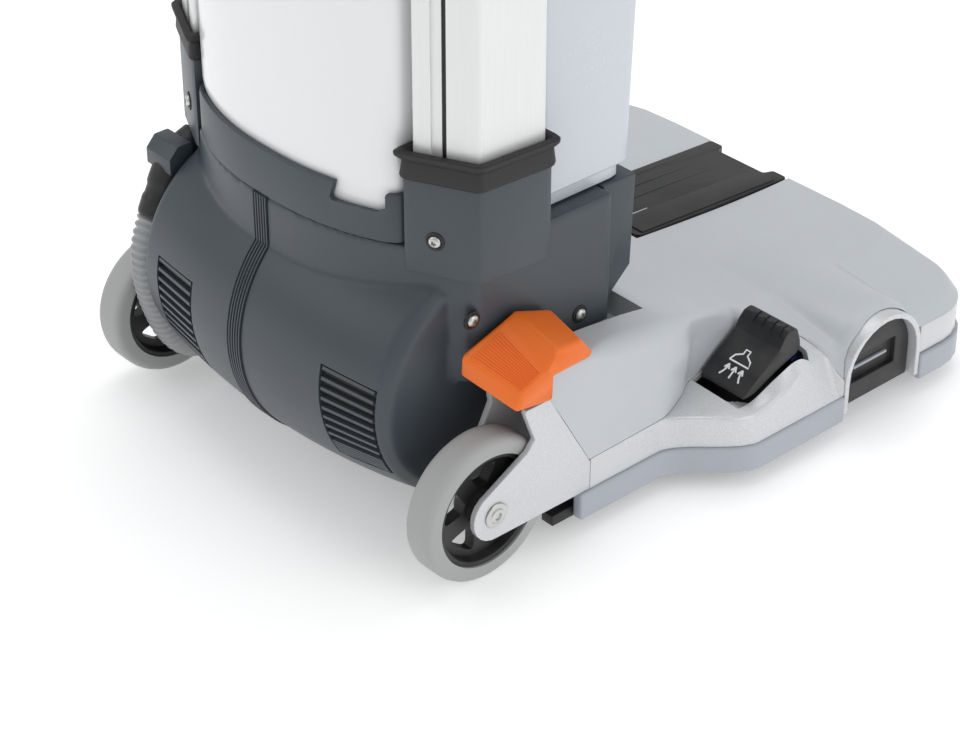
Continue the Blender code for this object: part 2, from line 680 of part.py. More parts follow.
def make_pivot_bracket(name, side):
    """Light grey ear of the deck that holds the upright on its pin."""
    boss = arc((TILT_AHEAD, TILT_HEIGHT), PIVOT_BOSS, 100, 205, 7)
    front = TILT_AHEAD + RECESS_RADIUS - 19.0
    outline = boss + [(14.0, 70.0), (60.0, 46.0), (60.0, PAN_TOP + 6.0), (front, PAN_TOP + 6.0),
                      (front, 78.0), (80.0, 98.0)]
    low, high = sorted((side * BRACKET_X, side * (BRACKET_X + BRACKET_THICK)))
    plate = extrude_x(name, outline, low, high, COVER_GREY)
    pin_from, pin_to = sorted((side * (DRUM_HALF + 3.0), side * (BRACKET_X + BRACKET_THICK - 1.0)))
    join(plate, rod("pin", (0, TILT_AHEAD, TILT_HEIGHT), "X", pin_from, pin_to, PIVOT_RADIUS, STEEL))
    return plate


def make_opening_ring():
    """Silver arch round the brush opening."""
    ring = brush_arch(OPENING_OUTER, HOOD_START, FRONT_HALF + 1.0, OPENING_BOTTOM)
    ring.name = "brush_opening_ring"
    ring.data.materials.clear()
    ring.data.materials.append(SILVER)
    cut(ring, brush_arch(OPENING_INNER, HOOD_START - 5.0, FRONT_HALF + 5.0, OPENING_BOTTOM - 10.0))
    return ring


def make_squeegees():
    """Front and rear squeegees: holder and blade of each."""
    bar = FRONT_HALF - 30.0
    front = DECK_FRONT - 34.0
    holder = extrude_x("front_squeegee_holder", ((front - 7, 7), (front + 7, 7), (front + 5, PAN_BOTTOM - GAP),
                                                 (front - 5, PAN_BOTTOM - GAP)), -bar, bar, BLACK)
    blade = extrude_x("front_squeegee_blade", ((front - 1.6, BLADE_FOOT), (front + 1.6, BLADE_FOOT),
                                               (front + 1.6, 7 - GAP), (front - 1.6, 7 - GAP)), -bar, bar, RUBBER)
    back = TILT_AHEAD + RECESS_RADIUS + 14.0
    outer = REAR_HALF - BUMPER_WALL + BUMPER_PROUD - 2 * GAP
    inner = outer - 9.0
    top = PAN_BOTTOM - GAP
    leg_end = WHEEL_RADIUS + 3.5
    plan = [(-inner, leg_end), (-inner, back - 6), (inner, back - 6), (inner, leg_end), (outer, leg_end),
            (outer, back + 6), (-outer, back + 6), (-outer, leg_end)]
    rear_holder = extrude_z("rear_squeegee_holder", plan[::-1], 9.0, top, BLACK)
    rear_blade = extrude_x("rear_squeegee_blade", ((back - 1.6, BLADE_FOOT), (back + 1.6, BLADE_FOOT),
                                                   (back + 1.6, 9 - GAP), (back - 1.6, 9 - GAP)),
                           -inner, inner, RUBBER)
    return holder, blade, rear_holder, rear_blade


def bent_pipe(name, route, radius, material, steps=10):
    """Solid round pipe along (ahead, z) points in one plane across x = HOSE_X."""
    rings = []
    for index, (ahead, height) in enumerate(route):
        near = route[max(index - 1, 0)]
        far = route[min(index + 1, len(route) - 1)]
        run = Vector((far[0] - near[0], far[1] - near[1])).normalized()
        ring = []
        for step in range(steps):
            angle = 2 * math.pi * step / steps
            out = radius * math.sin(angle)
            ring.append((HOSE_X + radius * math.cos(angle), ahead - run.y * out, height + run.x * out))
        rings.append(ring)
    return loft(name, rings, material)


def smooth_route(points, steps):
    """Catmull-Rom curve through hand-chosen points."""
    padded = [points[0]] + list(points) + [points[-1]]
    route = []
    for index in range(1, len(padded) - 2):
        a, b, c, d = [Vector(point) for point in padded[index - 1:index + 3]]
        for step in range(steps):
            t = step / steps
            route.append(tuple(0.5 * (2 * b + (c - a) * t + (2 * a - 5 * b + 4 * c - d) * t * t
                                      + (3 * b - a - 3 * c + d) * t ** 3)))
    route.append(tuple(points[-1]))
    return route


ELBOW_ROUTE = ((14, 150), (4, 146), (-4, 139), (-10, 128), (-14.5, 118.5), (-17, 113))
HOSE_ROUTE = ((-17.2, 112.5), (-22, 101.5), (-24.3, 87), (-23, 71), (-19, 55), (-13, 40), (-4, 28),
              (9, 21.3), (30, 20.5), (50, 22.5), (SPIGOT_AHEAD - 1.4, SPIGOT_HEIGHT))


def make_hose():
    """Suction hose from the elbow, behind the drum's end, to the spigot on the deck."""
    return bent_pipe("suction_hose", smooth_route(HOSE_ROUTE, 2), HOSE_RADIUS, HOSE_GREY)


def elbow_shape(spare):
    return bent_pipe("hose_elbow", smooth_route(ELBOW_ROUTE, 3), HOSE_RADIUS + 0.8 + spare, BLACK)


def make_elbow():
    """Black hose cuff with the square block that holds it behind the left cheek."""
    elbow = elbow_shape(0.0)
    block = ((-12, 141), (3, 141), (3, 157), (-7, 157), (-12, 152))
    join(elbow, extrude_x("block", block, HOSE_X - 4.0, HOSE_X + 9.0, BLACK))
    return elbow


# ---------------------------------------------------------------- pedal, rocker, panel

def pedal_section(x, spread, drop):
    """Side view of the pedal at one x; spread is 0 at the inner side and 1 at the outer side."""
    inner = ((2.5, 113), (3, 123.5), (31.7, 133.7), (40, 136.4), (64.7, 126.7), (73, 113.5), (37, 113), (36.8, 104))
    outer = ((12.4, 101), (16, 110), (33, 117), (40, 127), (57, 126), (66.5, 114), (37.2, 113), (36.6, 97.5))
    points = []
    for (y0, z0), (y1, z1) in zip(inner, outer):
        points.append((x, y0 + (y1 - y0) * spread, z0 + (z1 - z0) * spread - drop))
    return points


def make_pedal():
    """Orange foot pedal, a shell open underneath, rocking on its own pin."""
    width = PEDAL_OUTER - PEDAL_INNER
    rings = []
    for spread in (0.0, 0.35, 0.7, 1.0):
        rings.append(pedal_section(PEDAL_INNER + width * spread, spread, 0.0))
    pedal = loft("tilt_pedal", rings, ORANGE)
    wall = PEDAL_WALL
    low, high = PEDAL_INNER + wall, PEDAL_OUTER - wall
    reach = PEDAL_PIVOT[0] + 5.5
    hollow = loft("hollow", [
        [(low, 4.5, 90), (low, 5.5, 119), (low, 32, 129), (low, reach, 131), (low, reach, 90)],
        [(high, 16.5, 90), (high, 18, 106), (high, 33, 112.5), (high, reach, 121), (high, reach, 90)]], BLACK)
    cut(pedal, hollow)
    return hang(pedal, empty("pedal_axis", *PEDAL_PIVOT, 0.0, DATUM))


def make_pedal_spring():
    """Torsion spring body on the pedal's pin, inside the pedal."""
    return sleeve("pedal_spring", (0, *PEDAL_PIVOT), "X", PEDAL_INNER + 6, PEDAL_OUTER - 8, 2.0, 3.7, STEEL, 14)


def make_rocker():
    """Black foot rocker for the suction, stepped at its raised end."""
    outline = ((165, 49.0), (166, 51.5), (176, 60), (186, 67), (193, 72.5), (196, 77), (199, 79.5), (203, 80),
               (206.5, 77.5), (209, 70), (209.5, 66), (207, 62.5), (190, 56.5), (172, 49.5))
    rocker = extrude_x("suction_rocker", outline, ROCKER_INNER, ROCKER_OUTER, BLACK)
    axis = empty("rocker_axis", ROCKER_PIVOT[0], ROCKER_PIVOT[1], 0.0, DATUM)
    return hang(rocker, axis)


def make_panel():
    """Black cover of the suction duct, with a finger notch at its front edge."""
    notch = 7.0
    front = DECK_FRONT - 0.8
    outline = rounded([(PANEL_RIGHT, PANEL_REAR), (PANEL_RIGHT, front), (PANEL_RIGHT - 11, front),
                       (PANEL_RIGHT - 13, front - notch), (PANEL_LEFT + 12, front - notch),
                       (PANEL_LEFT + 10, front), (PANEL_LEFT, front), (PANEL_LEFT, PANEL_REAR)],
                      [6, 2, 2, 2, 2, 2, 2, 6], 3)
    low, high = [], []
    for x, ahead in outline:
        (top,) = along(CROWN, ahead)
        high.append((x, ahead, top + 0.4))
        low.append((x, ahead, top + 0.4 - PANEL_THICK))
    return loft("duct_panel", [low, high], BLACK)


# ---------------------------------------------------------------- brush and drive

def make_brush():
    """Cylindrical brush: core with a hex socket, and a ribbed bristle sleeve round it."""
    centre = (0, BRUSH_AHEAD, BRUSH_HEIGHT)
    core = rod("brush_core", centre, "X", BRUSH_LEFT, BRUSH_RIGHT, BRUSH_CORE, BLACK, 24)
    cut(core, rod("socket", centre, "X", BRUSH_LEFT - 2, BRUSH_LEFT + 14, 8.0, BLACK, 6))
    cut(core, rod("bore", centre, "X", BRUSH_RIGHT - 14, BRUSH_RIGHT + 2, 5.6, BLACK, 20))
    lobes, turns = 12, 10
    rings = []
    low, high = BRUSH_LEFT + 4, BRUSH_RIGHT - 4
    for turn_index in range(turns + 1):
        share = turn_index / turns
        ring = []
        for index in range(2 * lobes):
            radius = BRUSH_RADIUS if index % 2 == 0 else BRUSH_RADIUS - 5.0
            angle = math.pi * index / lobes + share * math.pi * 0.6
            ring.append((low + (high - low) * share, BRUSH_AHEAD + radius * math.cos(angle),
                         BRUSH_HEIGHT + radius * math.sin(angle)))
        rings.append(ring)
    bristles = loft("brush_bristles", rings, BRISTLE)
    cut(bristles, rod("bore", centre, "X", low - 5, high + 5, BRUSH_CORE + GAP, BLACK, 24))
    axis = empty("brush_axis", BRUSH_AHEAD, BRUSH_HEIGHT, 0.0, DATUM)
    hang(core, axis)
    hang(bristles, axis)


def make_end_cap():
    """Dark end plate that carries the brush's right bearing, with a grip recess."""
    high = FRONT_HALF - 5.0
    cap = brush_arch(OPENING_INNER - GAP - 0.2, high - 6.0, high, OPENING_BOTTOM)
    cap.name = "brush_end_cap"
    cap.data.name = "brush_end_cap"
    cut(cap, extrude_x("grip", ((BRUSH_AHEAD - 20, 27), (BRUSH_AHEAD + 16, 27), (BRUSH_AHEAD + 16, 44),
                                (BRUSH_AHEAD - 20, 44)), high - 4.0, high + 4.0, BLACK))
    join(cap, rod("stub", (0, BRUSH_AHEAD, BRUSH_HEIGHT), "X", BRUSH_RIGHT - 10, high - 5.0, 5.0, BLACK, 20))
    return cap


def make_drive():
    """Brush motor, both pulleys and the belt round them."""
    inner = BELT_X + BELT_WIDTH / 2
    motor = rod("brush_motor", (0, MOTOR_AHEAD, MOTOR_HEIGHT), "X", inner + 18, inner + 108, MOTOR_RADIUS, STEEL, 24)
    cut(motor, rod("bore", (0, MOTOR_AHEAD, MOTOR_HEIGHT), "X", inner + 13, inner + 38, 3.4, BLACK, 12))
    half = BELT_WIDTH / 2
    pulley = turn("motor_pulley", ((BELT_X - half, 0), (BELT_X - half, MOTOR_PULLEY), (BELT_X + half, MOTOR_PULLEY),
                                   (BELT_X + half, 3.0), (inner + 33, 3.0), (inner + 33, 0)),
                  (0, MOTOR_AHEAD, MOTOR_HEIGHT), "X", STEEL, 20)
    large = turn("brush_pulley", ((BELT_X - half, 0), (BELT_X - half, BRUSH_PULLEY), (BELT_X + half, BRUSH_PULLEY),
                                  (BELT_X + half, 6.0), (BRUSH_LEFT - 2, 6.0), (BRUSH_LEFT - 2, 0)),
                 (0, BRUSH_AHEAD, BRUSH_HEIGHT), "X", BLACK, 30)
    join(large, rod("dog", (0, BRUSH_AHEAD, BRUSH_HEIGHT), "X", BRUSH_LEFT - 3, BRUSH_LEFT + 12, 7.2, BLACK, 6))
    hang(pulley, empty("motor_pulley_axis", MOTOR_AHEAD, MOTOR_HEIGHT, 0.0, DATUM))
    hang(large, empty("brush_pulley_axis", BRUSH_AHEAD, BRUSH_HEIGHT, 0.0, DATUM))
    return motor, make_belt()


def belt_outline(extra):
    """Tangent loop round both pulleys, extra outside their rims."""
    small, big = MOTOR_PULLEY + extra, BRUSH_PULLEY + extra
    run_y, run_z = BRUSH_AHEAD - MOTOR_AHEAD, BRUSH_HEIGHT - MOTOR_HEIGHT
    reach = math.hypot(run_y, run_z)
    lean = math.degrees(math.atan2(run_z, run_y))
    open_angle = math.degrees(math.acos((small - big) / reach))
    outline = arc((BRUSH_AHEAD, BRUSH_HEIGHT), big, lean - open_angle, lean + open_angle, 18)
    outline += arc((MOTOR_AHEAD, MOTOR_HEIGHT), small, lean + open_angle, lean + 360 - open_angle, 10)
    return outline


def make_belt():
    low, high = BELT_X - BELT_WIDTH / 2 + 0.5, BELT_X + BELT_WIDTH / 2 - 0.5
    belt = extrude_x("drive_belt", belt_outline(GAP + BELT_THICK), low, high, RUBBER)
    return cut(belt, extrude_x("inside", belt_outline(GAP), low - 2, high + 2, RUBBER))


# ---------------------------------------------------------------- upright

def bowed(rear, stations):
    """Points along the body's bowed rear edge."""
    return [(x, rear + 20.0 * (x / 85.0) ** 2.4) for x in stations]


def body_plan(spare):
    """Plan of the housing above the drum; spare makes it larger."""
    half = CHEEK_HALF + spare
    rear = BODY_REAR - spare
    right = bowed(rear, (22, 44, 66)) + [(85, rear + 20), (half - 8, rear + 33), (half, rear + 46),
                                         (half, BODY_FRONT + spare)]
    return right + mirrored(right) + [(0.0, rear)]


def drum_profile(spare, wall):
    """(x, radius) profile of the drum, bowed in plan and rounded at its ends."""
    profile = []
    end = DRUM_HALF - wall
    for x in (1.0, 0.95, 0.8, 0.6, 0.35, 0.12):
        radius = DRUM_RADIUS - DRUM_BOW * x * x + spare - wall
        if x > 0.97:
            radius -= 9.0
        profile.append((end * x, radius))
    right = profile[::-1] + [(end, 0)]
    left = [(-x, radius) for x, radius in right[::-1]]
    return left + right


def housing_solid(name, spare, wall):
    """Drum joined to the body above it."""
    drum = turn(name, drum_profile(spare, wall), (0, TILT_AHEAD, TILT_HEIGHT), "X", SLATE, 32)
    floor = 99.0 + wall
    body = extrude_z("body", body_plan(spare - wall), floor, HOUSING_TOP - wall, SLATE)
    join(drum, body)
    return drum


def housing_slice(name, low, high, spare):
    """Part of the housing shell between two x values."""
    shell = housing_solid(name, spare, 0.0)
    cut(shell, housing_solid("inside", 0.0, DRUM_WALL))
    slab = extrude_x("slab", ((-80, -20), (180, -20), (180, HOUSING_TOP + 40), (-80, HOUSING_TOP + 40)), low, high, SLATE)
    common(shell, slab)
    return shell


def make_housing():
    """Motor housing halves with vents, and the ribbed strip between them."""
    right = housing_slice("motor_housing_right", RIB_RIGHT + GAP, 200.0, 0.0)
    left = housing_slice("motor_housing_left", -200.0, RIB_LEFT - GAP, 0.0)
    rib = housing_slice("housing_rib", RIB_LEFT, RIB_RIGHT, RIB_PROUD)
    for housing, low, high, slots in ((right, 66.0, 96.0, 5), (left, -84.0, -50.0, 6)):
        for index in range(slots):
            middle = TILT_HEIGHT + 12.0 - index * 8.0
            outline = ((-60, middle - 1.6), (10, middle - 1.6), (10, middle + 1.6), (-60, middle + 1.6))
            cut(housing, extrude_x("slot", outline, low, high, BLACK))
    cut(left, elbow_shape(GAP))
    for side, housing in ((1, right), (-1, left)):
        ends = sorted((side * (DRUM_HALF - 10), side * (CHEEK_HALF + 10)))
        cut(housing, rod("bore", (0, TILT_AHEAD, TILT_HEIGHT), "X", ends[0], ends[1], PIVOT_RADIUS + GAP, BLACK))
    return right, left, rib


def make_base_cover():
    """Dark cover in front of the housing, under the recovery tank."""
    rear = BODY_FRONT + RIB_PROUD + GAP
    half = CHEEK_HALF - 8.0
    outline = ((rear, 104), (rear, HOUSING_TOP), (BASE_FRONT, HOUSING_TOP), (BASE_FRONT - 2, 121), (rear + 3, 104))
    cover = extrude_x("front_base_cover", outline, -half, half, SLATE)
    wall = DRUM_WALL
    inside = ((rear - 5, 112), (rear - 5, HOUSING_TOP - wall), (BASE_FRONT - wall, HOUSING_TOP - wall),
              (BASE_FRONT - 2 - wall, 123), (rear + 4, 110))
    return cut(cover, extrude_x("inside", inside, wall - half, half - wall, SLATE))


def offset_outline(outline, distance):
    """Move every side of an anticlockwise convex outline outwards by distance."""
    moved = []
    count = len(outline)
    for index in range(count):
        before = Vector(outline[index]) - Vector(outline[index - 1])
        after = Vector(outline[(index + 1) % count]) - Vector(outline[index])
        first = Vector((before.y, -before.x)).normalized()
        second = Vector((after.y, -after.x)).normalized()
        middle = (first + second).normalized()
        moved.append(tuple(Vector(outline[index]) + middle * (distance / max(middle.dot(first), 0.3))))
    return moved


POST_PLAN = ((88.0, -2.4), (121.6, 14.2), (124.4, 57.4), (88.6, 57.4))


def post_outline(side, distance):
    """Anticlockwise plan of a post, grown by distance, on either side."""
    outline = rounded(offset_outline(POST_PLAN, distance), [3, 5, 5, 3], 2)
    return outline if side > 0 else mirrored(outline)


def make_post(label, side):
    """Socket, rubber collar and hollow aluminium post of one side."""
    socket = extrude_z("post_socket_" + label, post_outline(side, SOCKET_WALL), SOCKET_BOTTOM, COLLAR_BOTTOM, SLATE)
    cut(socket, extrude_z("body", body_plan(GAP), 60.0, HOUSING_TOP + GAP, SLATE))
    foot = HOUSING_TOP + 6.0
    cut(socket, extrude_z("inside", post_outline(side, GAP), foot - GAP, COLLAR_BOTTOM + 20, SLATE))
    collar = extrude_z("post_collar_" + label, post_outline(side, COLLAR_WALL + 1.4), COLLAR_BOTTOM + GAP,
                       COLLAR_TOP, RUBBER)
    cut(collar, extrude_z("inside", post_outline(side, GAP), COLLAR_BOTTOM - 5, COLLAR_TOP + 5, RUBBER))
    post = extrude_z("post_" + label, post_outline(side, 0.0), foot, POST_TOP, ALUMINIUM)
    cut(post, extrude_z("inside", post_outline(side, -3.0), foot - 5, POST_TOP + 5, ALUMINIUM))
    start, end = Vector(POST_PLAN[0]), Vector(POST_PLAN[1])
    run = (end - start).normalized()
    out = Vector((run.y, -run.x))
    middle = start + run * 18.0
    groove = [middle - run * 2.6 + out * 3, middle + run * 2.6 + out * 3, middle + run * 2.6 - out * 1.8,
              middle - run * 2.6 - out * 1.8]
    groove = [tuple(point) for point in groove]
    cut(post, extrude_z("groove", groove if side > 0 else mirrored(groove), foot - 5, POST_TOP + 5, ALUMINIUM))
    return socket, collar, post


def cradle_plan(spare):
    """Plan of the tray under the solution tank."""
    half = POST_PLAN[0][0] - SOCKET_WALL - 1.6 + spare
    rear = BODY_REAR - spare
    right = bowed(rear, (22, 44, 64)) + [(half - 4, rear + 17), (half, rear + 23), (half, 66.0 + spare)]
    return right + mirrored(right) + [(0.0, rear)]


def make_cradle():
    """Dark tray that the solution tank stands in, notched at its right."""
    bottom = HOUSING_TOP + GAP
    tray = extrude_z("tank_cradle", cradle_plan(0.0), bottom, CRADLE_TOP, SLATE)
    cut(tray, extrude_z("inside", cradle_plan(-2.6), bottom + 3.0, CRADLE_TOP + 5, SLATE))
    cut(tray, extrude_z("notch", ((48, -60), (74, -60), (74, 10), (48, 10)), CRADLE_TOP - 9, CRADLE_TOP + 5, SLATE))
    cut(tray, extrude_z("front", ((-60, 50), (60, 50), (60, 90), (-60, 90)), CRADLE_TOP - 12, CRADLE_TOP + 5, SLATE))
    return tray


def make_solution_tank():
    """White translucent tank at the back, with a filler neck and a screw cap."""
    foot = HOUSING_TOP + GAP + 3.0 + GAP
    shoulder = CRADLE_TOP + 2.0
    fit = -2.6 - PLAY
    levels = ((foot, fit), (shoulder - 2, fit), (shoulder, fit + 1.2), (SOLUTION_TOP - 22, fit + 2.2),
              (SOLUTION_TOP - 8, fit - 1.0), (SOLUTION_TOP, fit - 9.0))
    outer = [[(x, y, z) for x, y in cradle_plan(spare)] for z, spare in levels]
    tank = loft("solution_tank", outer, WHITE)
    inner = [[(x, y, z) for x, y in cradle_plan(spare - TANK_WALL)] for z, spare in levels[:-1]]
    inner[0] = [(x, y, z + TANK_WALL) for x, y, z in inner[0]]
    cut(tank, loft("inside", inner, WHITE))
    centre = (0, 22.0, 0)
    neck = sleeve("neck", centre, "Z", SOLUTION_TOP - 12, SOLUTION_TOP + 12, 17.0, 19.5, WHITE, 28)
    join(tank, neck)
    cut(tank, rod("mouth", centre, "Z", SOLUTION_TOP - 16, SOLUTION_TOP + 16, 16.9, WHITE, 28))
    top = SOLUTION_TOP + 12 + GAP
    cap = turn("solution_tank_cap", ((top, 0), (top, 20.3), (SOLUTION_TOP + 1, 20.3), (SOLUTION_TOP + 1, 24),
                                     (top + 2, 23), (top + 4, 21), (top + 4, 0)), centre, "Z", BLACK, 28)
    hang(cap, empty("cap_axis", centre[1], SOLUTION_TOP, 0.0, DATUM))
    return tank, cap


def recovery_plan(spare, front):
    """Plan of the recovery tank, front edge given."""
    half = RECOVERY_HALF + spare
    rear = 69.5 - spare
    outline = [(-half, rear), (half, rear), (half, front + spare), (-half, front + spare)]
    return rounded(outline, [4, 4, 9, 9], 3)


def make_recovery_tank():
    """Pale grey tank at the front, leaning slightly forwards, with a hinged lid."""
    foot = HOUSING_TOP + 1.0
    step = RECOVERY_BOTTOM + 2.0
    front = BASE_FRONT - 3.0
    levels = ((foot, -3.0, front - 1), (step - 2, -3.0, front - 1), (step, 0.0, front),
              (RECOVERY_TOP, 0.0, front + 12.0))
    tank = loft("recovery_tank", [[(x, y, z) for x, y in recovery_plan(spare, at)] for z, spare, at in levels],
                TANK_GREY)
    cavity = ((step + TANK_WALL, -TANK_WALL, front), (RECOVERY_TOP + 5, -TANK_WALL, front + 12.0))
    cut(tank, loft("inside", [[(x, y, z) for x, y in recovery_plan(spare, at)] for z, spare, at in cavity],
                   TANK_GREY))
    low = RECOVERY_TOP + GAP
    lid_levels = ((low, 0.0), (low + LID_HEIGHT - 5, 0.0), (low + LID_HEIGHT, -5.0))
    lid = loft("recovery_tank_lid", [[(x, y, z) for x, y in recovery_plan(spare, front + 12.0)]
                                     for z, spare in lid_levels], SLATE)
    hang(lid, empty("lid_axis", front + 12.0, low, 0.0, DATUM))
    return tank, lid


def make_inner_parts():
    """Vacuum motor, its fan and the solution pump inside the housing."""
    centre = (0, TILT_AHEAD, TILT_HEIGHT)
    motor = sleeve("vacuum_motor", centre, "X", -88, -16, 4.8, 42, STEEL, 30)
    blades = 14
    outline = []
    for index in range(blades):
        angle = 360.0 * index / blades
        outline += [arc((TILT_AHEAD, TILT_HEIGHT), 50, angle, angle, 1)[0],
                    arc((TILT_AHEAD, TILT_HEIGHT), 48, angle + 6, angle + 6, 1)[0],
                    arc((TILT_AHEAD, TILT_HEIGHT), 22, angle + 14, angle + 14, 1)[0]]
    fan = extrude_x("vacuum_fan", outline, -9.0, 14.0, ALUMINIUM)
    join(fan, rod("shaft", centre, "X", -30, -8, 4.5, STEEL, 14))
    hang(fan, empty("fan_axis", TILT_AHEAD, TILT_HEIGHT, 0.0, DATUM))
    pump = rod("solution_pump", (70, 88, 0), "Z", 108, 160, 15, BLACK, 20)
    join(pump, rod("outlet", (70, 88, 134), "X", -26, 0, 4, BLACK, 12))
    return motor, fan, pump


def make_handle():
    """Yoke across the posts, handle tube, head, grip loop, controls and cable fittings."""
    low, high = POST_TOP + GAP, POST_TOP + YOKE_HEIGHT
    yoke = extrude_x("handle_yoke", ((-6, low), (60, low), (60, low + 22), (TUBE_AHEAD + 20, high),
                                     (TUBE_AHEAD - 20, high), (-6, low + 22)), -128.0, 128.0, SLATE)
    for side in (1, -1):
        corner = ((side * 60, high + 5), (side * 140, high + 5), (side * 140, low + 22))
        wedge = [[(x, y, z) for x, z in corner] for y in (-20, 80)]
        cut(yoke, loft("wedge", wedge, SLATE))
    foot = high - 40.0
    head_low = OVERALL_HEIGHT - GRIP_HEIGHT - 15.0
    head_high = OVERALL_HEIGHT - GRIP_HEIGHT + 22.0
    tube_top = head_low + 24.0
    cut(yoke, rod("socket", (0, TUBE_AHEAD, 0), "Z", foot - GAP, high + 5, TUBE_RADIUS + GAP, SLATE, 28))
    tube = sleeve("handle_tube", (0, TUBE_AHEAD, 0), "Z", foot, tube_top, TUBE_RADIUS - 2.0, TUBE_RADIUS, ALUMINIUM, 28)
    depth = 19.0
    head = extrude_x("handle_head", rounded([(TUBE_AHEAD - depth, head_low), (TUBE_AHEAD + depth, head_low),
                                             (TUBE_AHEAD + depth, head_high), (TUBE_AHEAD - depth, head_high)],
                                            6, 3), -46.0, 46.0, SLATE)
    cut(head, rod("socket", (0, TUBE_AHEAD, 0), "Z", head_low - 5, tube_top + GAP, TUBE_RADIUS + GAP, SLATE, 28))
    well = ((-14, head_low + 14), (14, head_low + 14), (14, head_low + 32), (-14, head_low + 32))
    cut(head, loft("well", [[(x, y, z) for x, z in well] for y in (TUBE_AHEAD - depth - 5, TUBE_AHEAD - depth + 2.4)],
                   SLATE))
    grip_low = head_high + GRIP_RADIUS + GAP
    grip_high = OVERALL_HEIGHT - GRIP_RADIUS
    outline = rounded([(-34, grip_low), (34, grip_low), (GRIP_HALF - GRIP_RADIUS, grip_high),
                       (GRIP_RADIUS - GRIP_HALF, grip_high)], [16, 16, 28, 28], 6)
    outline = [Vector(point) for point in outline]
    rings = []
    for index, point in enumerate(outline):
        run = (outline[(index + 1) % len(outline)] - outline[index - 1]).normalized()
        out = Vector((run.y, -run.x))
        ring = []
        for step in range(14):
            angle = 2 * math.pi * step / 14
            across = out * GRIP_RADIUS * math.cos(angle)
            ring.append((point.x + across.x, TUBE_AHEAD + GRIP_RADIUS * math.sin(angle), point.y + across.y))
        rings.append(ring)
    grip = loft("grip_loop", rings, RUBBER, closed=True)
    trigger_top = grip_high + 8.0
    front = TUBE_AHEAD + GRIP_RADIUS + 2.5
    trigger = extrude_x("dosing_trigger", ((front, trigger_top - 44), (front + 5, trigger_top - 44),
                                           (front + 5, trigger_top), (front, trigger_top)), -20, 20, ORANGE)
    hang(trigger, empty("trigger_axis", front + 2.5, trigger_top, 0.0, DATUM))
    rear = TUBE_AHEAD - depth
    switch = loft("power_switch", [[(x, y, z) for x, z in ((-13, head_low + 15), (13, head_low + 15),
                                                           (13, head_low + 31), (-13, head_low + 31))]
                                   for y in (rear - 2.0, rear + 1.6)], ORANGE)
    hang(switch, empty("switch_axis", rear, head_low + 23, 0.0, DATUM))
    hook_z = head_low - 60.0
    back = TUBE_AHEAD - TUBE_RADIUS - GAP
    hook = turn("cable_hook", ((back - 9, 0), (back - 9, 10), (back, 10), (back, 0)), (0, 0, hook_z), "Y", BLACK, 20)
    arm = ((-6, hook_z), (6, hook_z), (6, hook_z + 46), (-6, hook_z + 46))
    join(hook, loft("arm", [[(x, y, z) for x, z in arm] for y in (back - 9, back - 4)], BLACK))
    tip = ((-6, hook_z + 40), (6, hook_z + 40), (6, hook_z + 46), (-6, hook_z + 46))
    join(hook, loft("tip", [[(x, y, z) for x, z in tip] for y in (back - 30, back - 6)], BLACK))
    hang(hook, empty("hook_axis", back, hook_z, 0.0, DATUM))
    join(head, turn("cord_gland", ((head_low - 32, 0), (head_low - 32, 4.5), (head_low - 6, 6.5), (head_low - 6, 9),
                                   (head_low + 2, 9), (head_low + 2, 0)), (34, TUBE_AHEAD, 0), "Z", RUBBER, 18))
    return yoke, tube, head, grip, trigger, switch, hook


# ---------------------------------------------------------------- assembly

def make_everything():
    make_cover()
    make_chassis()
    make_side_trims()
    make_front_trim()
    make_bumpers()
    make_opening_ring()
    make_squeegees()
    for label, side in (("right", 1), ("left", -1)):
        make_wheel_bracket("wheel_bracket_" + label, side)
        make_axle("wheel_axle_" + label, side)
        make_wheel(label, side)
        make_pivot_bracket("pivot_bracket_" + label, side)
    make_pedal()
    make_pedal_spring()
    make_rocker()
    make_panel()
    make_brush()
    make_end_cap()
    make_drive()
    upright = list(make_housing())
    upright += [make_base_cover(), make_cradle(), make_elbow()]
    for label, side in (("right", 1), ("left", -1)):
        upright += list(make_post(label, side))
    upright += list(make_solution_tank()) + list(make_recovery_tank())
    upright += list(make_inner_parts()) + list(make_handle())
    make_hose()
    tilt_axis = empty("tilt_axis", TILT_AHEAD, TILT_HEIGHT, 0.0, DATUM)
    for piece in upright:
        if piece.parent == DATUM:
            hang(piece, tilt_axis)


make_everything()
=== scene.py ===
# %% [markdown]
# # A compact upright floor scrubber
# The mechanical model is already built and packed: every part is a solid in metres, +Z up, +Y forwards
# and +X to the operator's right. This lesson dresses that frame. Parts whose shape is right get a better
# finish. Parts that need softer edges or finer detail are replaced by a piece made here, which rides on
# the same body, so the machine still tilts, rolls and opens.

# %% Load the frame
import json
import math

import bmesh
import bpy
from mathutils import Matrix, Vector


